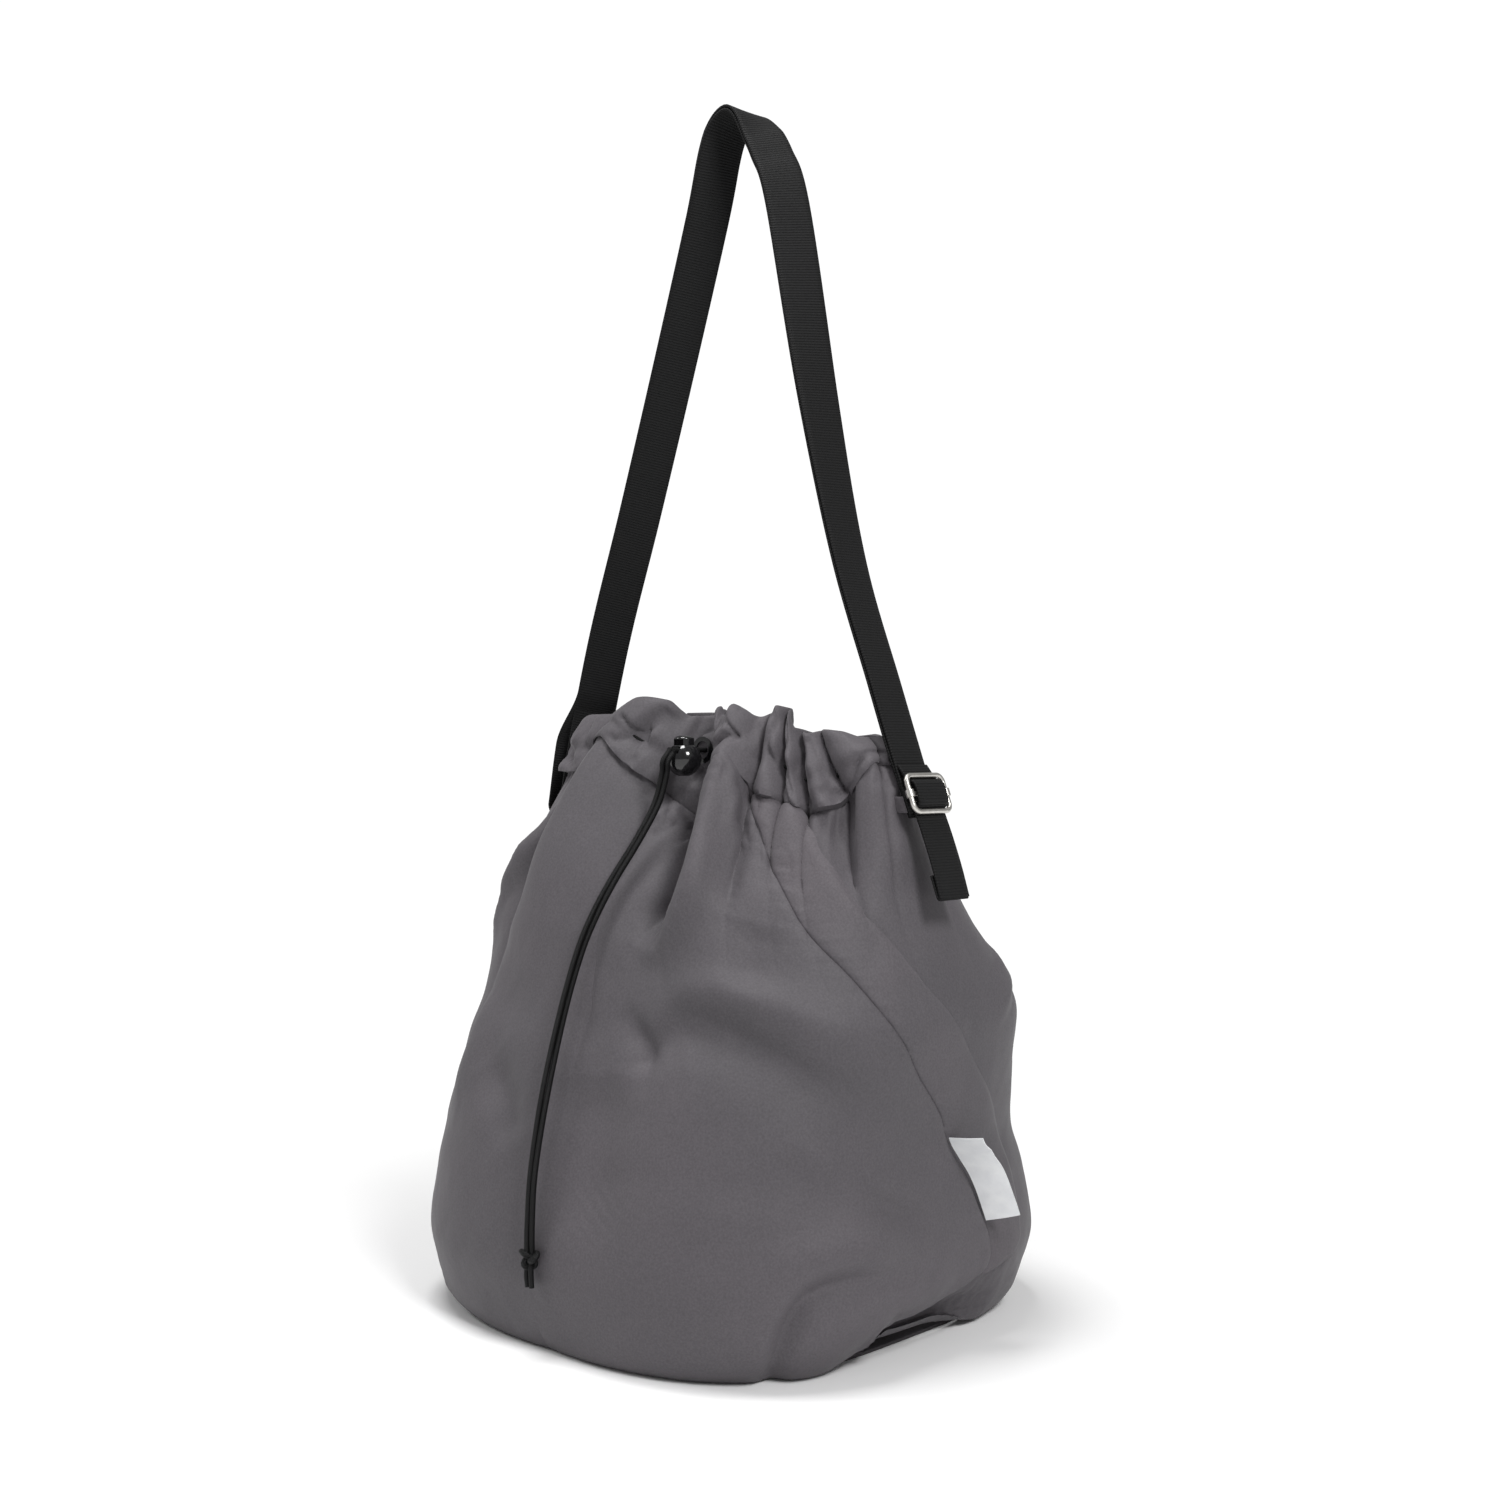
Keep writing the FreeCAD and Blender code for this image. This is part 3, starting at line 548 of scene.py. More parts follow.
# Soft folds drawn on the front: a line of (share round, height in mm), then how far it stands out
# (a valley if negative) and how far it spreads to either side, in mm.
FOLDS = [
    ([(0.575, 285), (0.570, 262), (0.575, 245)], -1.5, 50, 50),
    ([(0.575, 252), (0.572, 232), (0.575, 205)], -6.0, 42, 42),
    ([(0.650, 288), (0.631, 252), (0.604, 235), (0.594, 222), (0.596, 196)], 7.0, 8, 15),
    ([(0.660, 280), (0.645, 240), (0.640, 205)], -4.0, 12, 14),
    ([(0.800, 292), (0.806, 262), (0.804, 244), (0.796, 227), (0.784, 208)], -17.0, 16, 9),
    ([(0.828, 296), (0.831, 268), (0.831, 244), (0.816, 220), (0.780, 205)], 9.0, 9, 16),
    ([(0.852, 280), (0.853, 250), (0.850, 225)], -4.0, 9, 12),
    ([(0.877, 226), (0.869, 205), (0.858, 186)], -4.5, 14, 14),
    ([(0.782, 172), (0.798, 160), (0.804, 146)], -4.5, 6, 9),
    ([(0.802, 158), (0.825, 176), (0.871, 163), (0.910, 147), (0.958, 126)], -5.5, 8, 20),
    ([(0.812, 178), (0.845, 190), (0.885, 182), (0.925, 166)], 4.0, 12, 10),
    ([(0.772, 146), (0.782, 105), (0.790, 58)], -7.0, 26, 26),
    ([(0.925, 104), (0.955, 84), (0.985, 70)], -3.0, 6, 10),
    ([(0.900, 118), (0.935, 98), (0.960, 92)], 2.0, 8, 8),
    ([(0.890, 4), (0.896, 32), (0.904, 47), (0.930, 54), (0.977, 49)], -6.5, 6, 8),
    ([(0.900, 66), (0.935, 70), (0.975, 64)], 3.5, 12, 12),
    ([(0.677, 143), (0.708, 120), (0.723, 99)], -5.0, 14, 14),
    ([(0.640, 175), (0.650, 140), (0.655, 100)], 4.0, 20, 20),
    ([(0.935, 288), (0.944, 262), (0.954, 236)], -5.5, 9, 9),
    ([(0.975, 284), (0.978, 258), (0.990, 230)], 4.0, 12, 12),
    ([(0.065, 196), (0.075, 178)], 4.0, 22, 22),
    ([(0.950, 8), (1.000, 10), (1.060, 12)], -14.0, 22, 22),
    ([(0.100, 150), (0.140, 110), (0.200, 90)], -4.0, 18, 18),
    ([(0.300, 240), (0.320, 190), (0.340, 150)], -5.0, 16, 22),
    ([(0.380, 120), (0.430, 90), (0.470, 80)], -4.0, 16, 16),
    ([(0.180, 260), (0.200, 215), (0.230, 180)], 5.0, 16, 22),
    ([(0.440, 260), (0.450, 210), (0.470, 170)], 5.0, 14, 20),
]
FOLD_STRENGTH = 1.2


def bare_surface(u, z):
    """The cloth body without its folds; z is the nominal height, up to the mean seam."""
    half_width, half_depth, power, lean = section_at(z)
    x = np.zeros(u.shape)
    y = np.zeros(u.shape)
    for r in range(len(u)):
        x[r], y[r] = oval(u[r], half_width[r, 0], half_depth[r, 0], power[r, 0])
    return np.stack([x + 0.731 * lean, y + 0.682 * lean, z], axis=-1)


def fold_push(points, normals, path, height, left, right):
    """Push points along their normals near a smooth line drawn on the bag."""
    keys = np.array(path, float)
    t = np.linspace(0, 1, len(keys))
    fine = np.linspace(0, 1, 40)
    line_u = curve_through(fine, t, keys[:, 0])
    line_z = curve_through(fine, t, keys[:, 1])
    line = bare_surface(line_u[:, None], np.minimum(line_z, SEAM)[:, None])[:, 0]
    tangent = unit(np.gradient(line, axis=0))
    near = np.full(points.shape[:2], 1e9)
    side = np.zeros(points.shape[:2])
    place = np.zeros(points.shape[:2])
    for i in range(len(line)):
        offset = points - line[i]
        distance = np.linalg.norm(offset, axis=-1)
        closer = distance < near
        turn = np.einsum("...k,...k->...", np.cross(tangent[i], offset), normals)
        near = np.where(closer, distance, near)
        side = np.where(closer, turn, side)
        place = np.where(closer, fine[i], place)
    to_left = 0.5 + 0.5 * np.clip(side / (near + 2), -1, 1)
    spread = right + (left - right) * to_left
    ends = smooth(place, -0.25, 0.25) * (1 - 0.85 * smooth(place, 0.6, 1.0))
    return FOLD_STRENGTH * height * np.exp(-(near / spread) ** 2) * ends


BODY_COLUMNS = 480
BODY_ROWS = 150


def body_surface():
    """The whole body as a grid of points, rows from the base edge to the seam."""
    t = np.linspace(0, 1, BODY_ROWS)
    z_rows = SEAM * (t + 0.35 * t * (t - 1) * (1 - t))
    u_columns = np.arange(BODY_COLUMNS) / BODY_COLUMNS
    u = np.broadcast_to(u_columns, (BODY_ROWS, BODY_COLUMNS)).copy()
    z = np.broadcast_to(z_rows[:, None], u.shape).copy()
    points = bare_surface(u, z)
    normals = grid_normals(points, closed=True)
    rise = (seam_height(u) - SEAM) * smooth(z / SEAM, 0.62, 1.0)
    below = SEAM - z
    puff, width = gather_shape(u, 0 * z)
    reach = 12 + 620 * width
    push = 0.85 * puff * np.exp(-(below / reach) ** 1.3)
    pleats = wave_noise(u, 0.35 * z, 23, 13, 2)
    push += 1.1 * pleats * np.exp(-below / 13) - 3.0 * np.exp(-below / 5)
    for path, height, left, right in FOLDS:
        push += fold_push(points, normals, path, height, left, right)
    broad = wave_noise(u, z, 21, 120, 2)
    creases = wave_noise(u, z, 22, 34, 3)
    push += 1.3 * broad * smooth(z, 10, 60) + 0.35 * creases * smooth(z, 5, 30)
    points = points + normals * push[..., None]
    points[..., 2] += rise
    points[..., 2] = np.maximum(points[..., 2], 0.6)
    return points


body = body_surface()


CLOTH_CAP = 2.5
CLOTH_FRAMES = 24


def simulate(points):
    """Let the gathered cloth settle: a short Cloth run with light inside pressure, its ends held."""
    step = 2
    rows = np.arange(0, BODY_ROWS, step)
    if rows[-1] != BODY_ROWS - 1:
        rows = np.append(rows, BODY_ROWS - 1)
    coarse = points[rows][:, ::step]
    count_r, count_c, _ = coarse.shape
    obj = mesh_object("settling", coarse.reshape(-1, 3), grid_faces(count_r, count_c, closed=True), cloth)
    held = obj.vertex_groups.new(name="held")
    held.add([int(i) for i in range(count_c)], 1.0, "REPLACE")
    held.add([int(i) for i in range((count_r - 1) * count_c, count_r * count_c)], 1.0, "REPLACE")
    run = modifier(obj, "CLOTH")
    run.settings.quality = 6
    run.settings.mass = 0.15
    run.settings.tension_stiffness = 30
    run.settings.compression_stiffness = 30
    run.settings.shear_stiffness = 8
    run.settings.bending_stiffness = 0.4
    run.settings.vertex_group_mass = "held"
    run.settings.use_pressure = True
    run.settings.uniform_pressure_force = 1.2
    run.settings.effector_weights.gravity = 0.3
    run.settings.shrink_min = -0.035
    run.point_cache.frame_start = 1
    run.point_cache.frame_end = CLOTH_FRAMES
    for number in range(1, CLOTH_FRAMES + 1):
        bpy.context.scene.frame_set(number)
    evaluated = obj.evaluated_get(bpy.context.evaluated_depsgraph_get())
    settled = np.zeros(len(obj.data.vertices) * 3)
    evaluated.data.vertices.foreach_get("co", settled)
    settled = settled.reshape(count_r, count_c, 3) / MM
    bpy.data.objects.remove(obj)
    bpy.context.scene.frame_set(1)
    moved = settled - coarse
    far = np.linalg.norm(moved, axis=-1, keepdims=True)
    moved = moved * np.minimum(1, CLOTH_CAP / np.maximum(far, 1e-6))
    print("cloth moved up to", round(float(far.max()), 2), "mm, mean", round(float(far.mean()), 2))
    return points + refine(moved, rows, step)


def refine(coarse, rows, step):
    """Spread values of the coarse grid over the full grid."""
    full = np.zeros((BODY_ROWS, BODY_COLUMNS, 3))
    columns = np.arange(0, BODY_COLUMNS, step)
    wrapped = np.append(columns, BODY_COLUMNS)
    for k in range(3):
        across = np.array([np.interp(np.arange(BODY_COLUMNS), wrapped, np.append(row[:, k], row[0, k]))
                           for row in coarse])
        for c in range(BODY_COLUMNS):
            full[:, c, k] = np.interp(np.arange(BODY_ROWS), rows, across[:, c])
    return full


body = simulate(body)


def on_body(u, row):
    """Points and normals of the settled cloth at shares u and fractional rows."""
    column = (np.asarray(u, float) % 1.0) * BODY_COLUMNS
    row = np.clip(np.asarray(row, float), 0, BODY_ROWS - 1.001)
    c0 = np.floor(column).astype(int) % BODY_COLUMNS
    c1 = (c0 + 1) % BODY_COLUMNS
    r0 = np.floor(row).astype(int)
    fc = (column - np.floor(column))[..., None]
    fr = (row - r0)[..., None]

    def mix(field):
        low = field[r0, c0] * (1 - fc) + field[r0, c1] * fc
        high = field[r0 + 1, c0] * (1 - fc) + field[r0 + 1, c1] * fc
        return low * (1 - fr) + high * fr

    return mix(body), unit(mix(body_normals))


body_normals = grid_normals(body, closed=True)


def row_of(z):
    """The fractional row of a nominal height."""
    t = np.linspace(0, 1, BODY_ROWS)
    return np.interp(z, SEAM * (t + 0.35 * t * (t - 1) * (1 - t)), np.arange(BODY_ROWS))


def soft_blend(piece):
    """Bake the piece's world transform into its mesh."""
    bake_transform(piece)


# The cloth is in quarters.
QUARTERS = (
    ("front_left", 0.50, 0.75, True, False),
    ("front_right", 0.75, 1.00, True, True),
    ("back_right", 0.00, 0.25, False, True),
    ("back_left", 0.25, 0.50, False, False),
)


# ---------------------------------------------------------------- walls
TOP_ROW = BODY_ROWS - 1
WALL_COLUMNS = 121
WALL_THICK = 0.6


def wall_mesh(u0, u1, name):
    """A closed sheet of cloth laid on the body between two shares, from the base to the seam."""
    u = np.linspace(u0, u1, WALL_COLUMNS)[None, :] * np.ones((BODY_ROWS, 1))
    row = np.linspace(0, TOP_ROW, BODY_ROWS)[:, None] * np.ones((1, WALL_COLUMNS))
    points, normals = on_body(u, row)
    sheet_points, faces = thicken(points, normals, np.full(u.shape, WALL_THICK))
    return mesh_object(name, sheet_points, faces, cloth)


for quarter, u0, u1, is_front, is_right in QUARTERS:
    wall = wall_mesh(u0, u1, f"{quarter}_wall_cloth")
    soft_blend(wall)
    if is_right:
        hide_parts("front_wall" if is_front else "back_wall")


# ---------------------------------------------------------------- overlay pocket and its edge band
# The pocket's open edge and the band's free edge: (height in mm, share round). Below, the overlay's
# lower edge is lifted at the right, so the edge turns back towards the front.
EDGE_LINE = [
    (0, 0.915), (8, 0.946), (24, 0.981), (32, 1.010), (42, 1.029), (50, 1.031), (68, 1.025), (91, 1.015),
    (114, 0.998), (124, 0.992), (147, 0.969), (179, 0.940), (205, 0.922), (218, 0.912), (244, 0.895),
    (270, 0.873), (289, 0.848),
]
BAND_LINE = [
    (38, 1.036), (44, 1.056), (52, 1.066), (65, 1.067), (90, 1.062), (116, 1.050), (152, 1.015), (182, 0.986),
    (210, 0.961), (237, 0.942), (264, 0.924), (280, 0.914), (289, 0.903),
]
BAND_FOOT = BAND_LINE[0][0]


def edge_share(z, line=EDGE_LINE):
    """Share round of an edge line at a height."""
    keys = np.array(line, float)
    return curve_through(z, keys[:, 0], keys[:, 1])


EDGE_SAMPLES = 260
edge_z = np.linspace(SEAM, 0, EDGE_SAMPLES)
edge_u = edge_share(edge_z)
edge_row = row_of(edge_z)
edge_points, edge_normals = on_body(edge_u, edge_row)
edge_length = lengths_along(edge_points)


def pucker(length, seed=31):
    """Small ripples along a sewn seam, uneven in size and spacing."""
    draw = np.random.default_rng(seed)
    total = np.zeros_like(length)
    for _ in range(7):
        period = draw.uniform(6.0, 15.0)
        total += np.sin(2 * math.pi * length / period + draw.uniform(0, 6.28))
    return total / 3.5


SEAM_RIPPLE = 0.45
OVERLAY_LIFT = 1.3
OVERLAY_THICK = 0.5
BAND_THICK = 0.9
seam_ripple = SEAM_RIPPLE * pucker(edge_length)


def pocket_panel(name, start_u, to_edge):
    """One half of the overlay; the right half ends at the open edge, pinched where the band is sewn on."""
    rows = EDGE_SAMPLES
    columns = 130
    start = np.full(rows, start_u)
    end = edge_u if to_edge else np.full(rows, 0.75)
    across = np.linspace(0, 1, columns)
    if to_edge:
        across = 1 - (1 - across) ** 1.35
    u = start[:, None] + (end - start)[:, None] * across[None, :]
    row = edge_row[:, None] * np.ones((1, columns))
    points, normals = on_body(u, row)
    lift = np.full(u.shape, OVERLAY_LIFT)
    if to_edge:
        from_edge = np.linalg.norm(points - points[:, -1:], axis=-1)
        pinch = np.exp(-from_edge / 1.8)
        lifted = smooth(u, 0.925, 0.985) * np.exp(-(edge_z[:, None] * np.ones((1, columns))) / 30)
        lift += 5.0 * lifted * np.exp(-from_edge / 16) - pinch * (1 - lifted)
        lift += seam_ripple[:, None] * np.exp(-from_edge / 7.0) * (1 - pinch)
    points = points + normals * lift[..., None]
    sheet_points, faces = thicken(points, normals, np.full(u.shape, OVERLAY_THICK))
    return mesh_object(name, sheet_points, faces, cloth)


def edge_band():
    """A folded strip beside the open edge; near the mouth its free edge stands off the wall."""
    rows = 240
    columns = 28
    z = np.linspace(SEAM, BAND_FOOT, rows)
    across = np.linspace(0, 1, columns)[None, :]
    first = edge_share(z)[:, None]
    last = edge_share(z, BAND_LINE)[:, None]
    u = first + (last - first) * across
    row = row_of(z)[:, None] * np.ones((1, columns))
    points, normals = on_body(u, row)
    length = lengths_along(points[:, 0])
    from_seam = np.linalg.norm(points - points[:, :1], axis=-1)
    pinch = np.exp(-from_seam / 1.8)
    share = (length / length[-1])[:, None]
    stand = 0.8 + 3.0 * np.exp(-((share - 0.20) / 0.16) ** 2)
    lift = OVERLAY_LIFT - 1.0 * pinch + stand * across ** 1.6 + 0.9 * np.sin(math.pi * across ** 0.8)
    lift += SEAM_RIPPLE * pucker(length)[:, None] * np.exp(-from_seam / 7.0) * (1 - pinch)
    lift += 0.5 * wave_noise(u, row * 2.0, 51, 28, 2) * across
    curl = 1.3 * smooth(across, 0.90, 1.0)
    points = points + normals * (lift - curl)[..., None]
    sheet_points, faces = thicken(points, normals, np.full(u.shape, BAND_THICK))
    # the band wears the lighter copy of the cloth: painted light
    return mesh_object("pocket_edge_band_cloth", sheet_points, faces, cloth_band_painted_light)


pocket_left = pocket_panel("pocket_left_cloth", 0.5, False)
pocket_right = pocket_panel("pocket_right_cloth", 0.75, True)
band = edge_band()
for piece, is_right in ((pocket_left, False), (pocket_right, True), (band, True)):
    soft_blend(piece)
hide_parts("pocket_panel")
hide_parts("pocket_edge_band")


# ---------------------------------------------------------------- base
def base_panel():
    """The flat base, a little domed, sewn in just inside the walls' lower edge."""
    rings = 24
    columns = 240
    u = np.arange(columns) / columns
    points = []
    for i in range(rings):
        share = (i + 1) / rings
        x, y = oval(u, base_high[0] * share, base_high[1] * share, 2 + 1.5 * share)
        points.append(np.stack([x, y, np.full(columns, 0.15 + 0.5 * (1 - share))], axis=-1))
    lower = np.concatenate(points)
    upper = lower + np.array([0, 0, 1.6])
    count = len(lower)
    hub = np.array([[0, 0, 0.65], [0, 0, 2.25]])
    faces = [tuple(f[::-1]) for f in grid_faces(rings, columns, closed=True)]
    faces += [tuple(f) for f in grid_faces(rings, columns, closed=True, start=count)]
    for c in range(columns):
        n = (c + 1) % columns
        faces.append((2 * count, n, c))
        faces.append((2 * count + 1, count + c, count + n))
        edge = (rings - 1) * columns
        faces.append((edge + c, edge + n, count + edge + n, count + edge + c))
    # the base wears the darker copy of the cloth: painted shade
    return mesh_object("base_panel_cloth", np.concatenate([lower, upper, hub]), faces, cloth_painted_shade)


base = base_panel()
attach(base, "bag")
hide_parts("base_panel")


# ================================================================ gathered rim casing
CASING_ROWS = 46
CASING_BULK = 8.0
CASING_THICK = 0.5
# the casing's half width and half depth in mm, at three levels between the seam and the rim's top
CASING_LEVELS = (0, 0.45, 1)
CASING_WIDTHS = (CASING_LEVELS, (0.762 * BELLY_WIDTH, 0.975 * RIM_WIDTH, 0.925 * RIM_WIDTH))
CASING_DEPTHS = (CASING_LEVELS, (0.385 * BELLY_DEPTH, 47.0, 41.0))

# Narrow creases on the casing's outside: a line of (share round, level), depth and spread in mm.
CREASES = [
    ([(0.868, 1.00), (0.876, 0.80), (0.870, 0.55), (0.880, 0.30), (0.893, 0.05)], 5.0, 2.6),
    ([(0.884, 1.00), (0.890, 0.75), (0.884, 0.50), (0.896, 0.20)], 4.0, 2.2),
    ([(0.898, 0.95), (0.906, 0.70), (0.898, 0.45), (0.911, 0.10)], 5.0, 2.6),
    ([(0.914, 0.90), (0.920, 0.65), (0.930, 0.35), (0.936, 0.10)], 4.0, 3.0),
    ([(0.748, 0.98), (0.738, 0.75), (0.718, 0.45), (0.700, 0.18)], 4.5, 3.5),
    ([(0.560, 0.90), (0.575, 0.50), (0.602, 0.15)], 3.5, 3.5),
    ([(0.600, 1.00), (0.606, 0.65), (0.622, 0.30)], 2.5, 3.0),
    ([(0.765, 0.90), (0.775, 0.50), (0.768, 0.20)], 3.0, 2.5),
    ([(0.926, 0.22), (0.945, 0.12), (0.956, 0.32)], 4.0, 3.0),
    ([(0.806, 1.00), (0.812, 0.80), (0.806, 0.62)], 4.0, 2.6),
    ([(0.818, 1.00), (0.824, 0.75), (0.838, 0.55)], 3.5, 2.6),
    ([(0.852, 1.00), (0.848, 0.75), (0.838, 0.52), (0.822, 0.40)], 4.0, 3.2),
    ([(0.736, 0.85), (0.724, 0.60), (0.728, 0.35)], 4.0, 2.6),
    ([(0.700, 0.60), (0.716, 0.45), (0.722, 0.15)], 3.5, 2.6),
    ([(0.545, 0.60), (0.566, 0.30), (0.588, 0.25)], 3.0, 3.0),
    ([(0.775, 0.95), (0.790, 0.40), (0.786, 0.00)], 5.0, 9.0),
]


def crease_depth(u, level, path, depth, spread):
    """Depth of one crease at places on the casing; a place is (share round, level)."""
    keys = np.array(path, float)
    around = 4 * 130.0
    tall = RIM_TOP - SEAM
    fine = np.linspace(0, 1, 24)
    at = np.linspace(0, 1, len(keys))
    line_u = curve_through(fine, at, keys[:, 0])
    line_v = curve_through(fine, at, keys[:, 1])
    near = np.full(u.shape, 1e9)
    for a, b in zip(line_u, line_v):
        near = np.minimum(near, np.hypot((u - a) * around, (level - b) * tall))
    return depth * np.exp(-(near / spread) ** 1.5)


def casing_piece(u0, u1, columns):
    """One length of the casing: up the outside, over the top and down the inside."""
    s = np.linspace(0, 1, CASING_ROWS)[:, None]
    u = np.linspace(u0, u1, columns)[None, :]
    u_grid = np.broadcast_to(u, (CASING_ROWS, columns))
    low = seam_height(u_grid)
    high = rim_height(u_grid)
    turn_low = 0.42
    turn_high = 0.60
    climb = np.clip(s / turn_low, 0, 1)
    drop = np.clip((s - turn_high) / (1 - turn_high), 0, 1)
    cap = np.clip((s - turn_low) / (turn_high - turn_low), 0, 1)
    radius = CASING_BULK / 2
    top = high - radius
    z = low + (top - low) * climb - (top - low - 2) * drop + radius * np.sin(math.pi * cap)
    level = np.clip((z - low) / (high - low), 0, 1)
    half_width = curve_through(level, *CASING_WIDTHS)
    half_depth = curve_through(level, *CASING_DEPTHS)
    x = np.zeros(u_grid.shape)
    y = np.zeros(u_grid.shape)
    table = np.linspace(0, 1, 25)
    for k in range(len(table)):
        w = curve_through(table[k:k + 1], *CASING_WIDTHS)[0]
        d = curve_through(table[k:k + 1], *CASING_DEPTHS)[0]
        ox, oy = oval(u_grid, w, d, 2.0)
        weight = np.clip(1 - np.abs(level - table[k]) * (len(table) - 1), 0, 1)
        x += ox * weight
        y += oy * weight
    normal = unit(np.stack([x / half_width ** 2, y / half_depth ** 2], axis=-1))
    puff = gather_shape(u_grid, level)[0]
    above = np.maximum(z - low, 0)
    belly = 4.2 * (1 - np.exp(-above / 1.8)) * (1 - smooth(level, 0.55, 1.0))
    inner = CASING_BULK * (1 - np.cos(math.pi * cap)) / 2 + np.sin(math.pi * drop) * 1.5
    ruffle = 0.9 * wave_noise(u_grid, z, 41, 24, 3)
    outside = 1 - smooth(s, 0.45, 0.62)
    for path, depth, spread in CREASES:
        ruffle -= crease_depth(u_grid, level, path, depth, spread) * outside
    thread = np.exp(-((level - 0.42) / 0.10) ** 2) * 1.6
    outer_share = np.clip(1 - s / turn_low, 0, 1)
    base_puff = puff * (1.0 + 0.15 * np.sin(math.pi * level)) * (1 - 0.15 * outer_share)
    offset = base_puff + belly + ruffle - inner - np.where(s < 0.5, thread, -thread)
    points = np.stack([x + normal[..., 0] * offset, y + normal[..., 1] * offset, z], axis=-1)
    # the strap's inner run holds the ends in
    strap_x = np.interp(z, [FOOT[2], 0.504 * TOP], [FOOT[0], 0.815 * FOOT[0]]) - 3.6
    room = strap_x + 60 * smooth(np.abs(points[..., 1]), 13, 22)
    points[..., 0] = np.clip(points[..., 0], -room, room)
    # the cloth is pressed flat behind the eyelet's flange
    off_eyelet = np.hypot(points[..., 0] - CORD_SIDE, points[..., 2] - CORD_HEIGHT)
    flat_share = (1 - smooth(off_eyelet, 7.5, 12.5)) * outside * (points[..., 1] < 0)
    points[..., 1] += (eyelet_low[1] + 1.1 - points[..., 1]) * flat_share
    points[0] = on_body(u[0], np.full(columns, float(TOP_ROW)))[0]
    return points


def casing_mesh(u0, u1, columns, name):
    points = casing_piece(u0, u1, columns)
    normals = grid_normals(points)
    sheet_points, faces = thicken(points, normals, np.full(points.shape[:2], CASING_THICK))
    return mesh_object(name, sheet_points, faces, cloth)


RIM_NODES = {
    "front_left": ("front_casing", "left_casing_end"),
    "back_right": ("back_casing", "right_casing_end"),
}
for quarter, u0, u1, is_front, is_right in QUARTERS:
    length = casing_mesh(u0, u1, 241, f"{quarter}_casing_cloth")
    soft_blend(length)
    if quarter in RIM_NODES:
        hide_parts(*RIM_NODES[quarter])


# ================================================================ ribbons: strap, tail, tabs and label
def ribbon(name, centres, across, facing, width, thickness, material, rounding=0.35):
    """A band of webbing along a line of centres; across and facing are its local directions."""
    rounding = min(rounding, thickness / 2 * 0.9)
    half = width / 2
    deep = thickness / 2
    top = np.linspace(-half + rounding, half - rounding, 9)
    ring = [(a, deep) for a in top] + [(half, deep - rounding), (half, -deep + rounding)]
    ring += [(a, -deep) for a in top[::-1]] + [(-half, -deep + rounding), (-half, deep - rounding)]
    ring = np.array(ring)
    count = len(ring)
    points = (centres[:, None] + across[:, None] * ring[None, :, :1] + facing[:, None] * ring[None, :, 1:])
    rows = len(centres)
    obj = mesh_object(name, points.reshape(-1, 3), rod_faces(rows, count), material)
    length = lengths_along(centres)
    add_uv(obj, np.repeat(length, count) * MM, np.tile(ring[:, 0], rows) * MM)
    return obj


def add_uv(obj, along, across):
    """A map that holds real distances along and across a ribbon, in metres."""
    layer = obj.data.uv_layers.new(name="ribbon")
    index = np.zeros(len(obj.data.loops), int)
    obj.data.loops.foreach_get("vertex_index", index)
    layer.data.foreach_set("uv", np.stack([along[index], across[index]], axis=-1).ravel())


def smooth_line(keys, samples):
    """A smooth curve through 3-D keys, sampled evenly by length (Catmull-Rom)."""
    keys = np.asarray(keys, float)
    padded = np.concatenate([[2 * keys[0] - keys[1]], keys, [2 * keys[-1] - keys[-2]]])
    line = []
    for i in range(len(keys) - 1):
        a, b, c, d = padded[i:i + 4]
        for t in np.linspace(0, 1, 30, endpoint=False):
            line.append(0.5 * (2 * b + (c - a) * t + (2 * a - 5 * b + 4 * c - d) * t ** 2
                               + (3 * b - a - 3 * c + d) * t ** 3))
    line.append(keys[-1])
    line = np.array(line)
    length = lengths_along(line)
    return read_line(np.linspace(0, length[-1], samples), length, line)


WEB = 25.0
WEB_THICK = 1.5
RUN_GAP = 1.75


def strap_line():
    """The line between the strap's two runs, in shares of the foot's reach and of the top's height."""
    shares = np.array([
        (-0.80, 0.545), (-0.58, 0.665), (-0.36, 0.79), (-0.165, 0.905), (-0.092, 0.956), (-0.045, 0.976),
        (0.015, 0.986), (0.075, 0.983), (0.135, 0.970), (0.21, 0.946), (0.30, 0.90), (0.47, 0.734),
        (0.63, 0.605), (0.815, 0.504),
    ])
    keys = np.stack([shares[:, 0] * FOOT[0], 0 * shares[:, 0], shares[:, 1] * TOP], axis=-1)
    return smooth_line([FOOT * (-1, 1, 1), *keys, FOOT], 420)


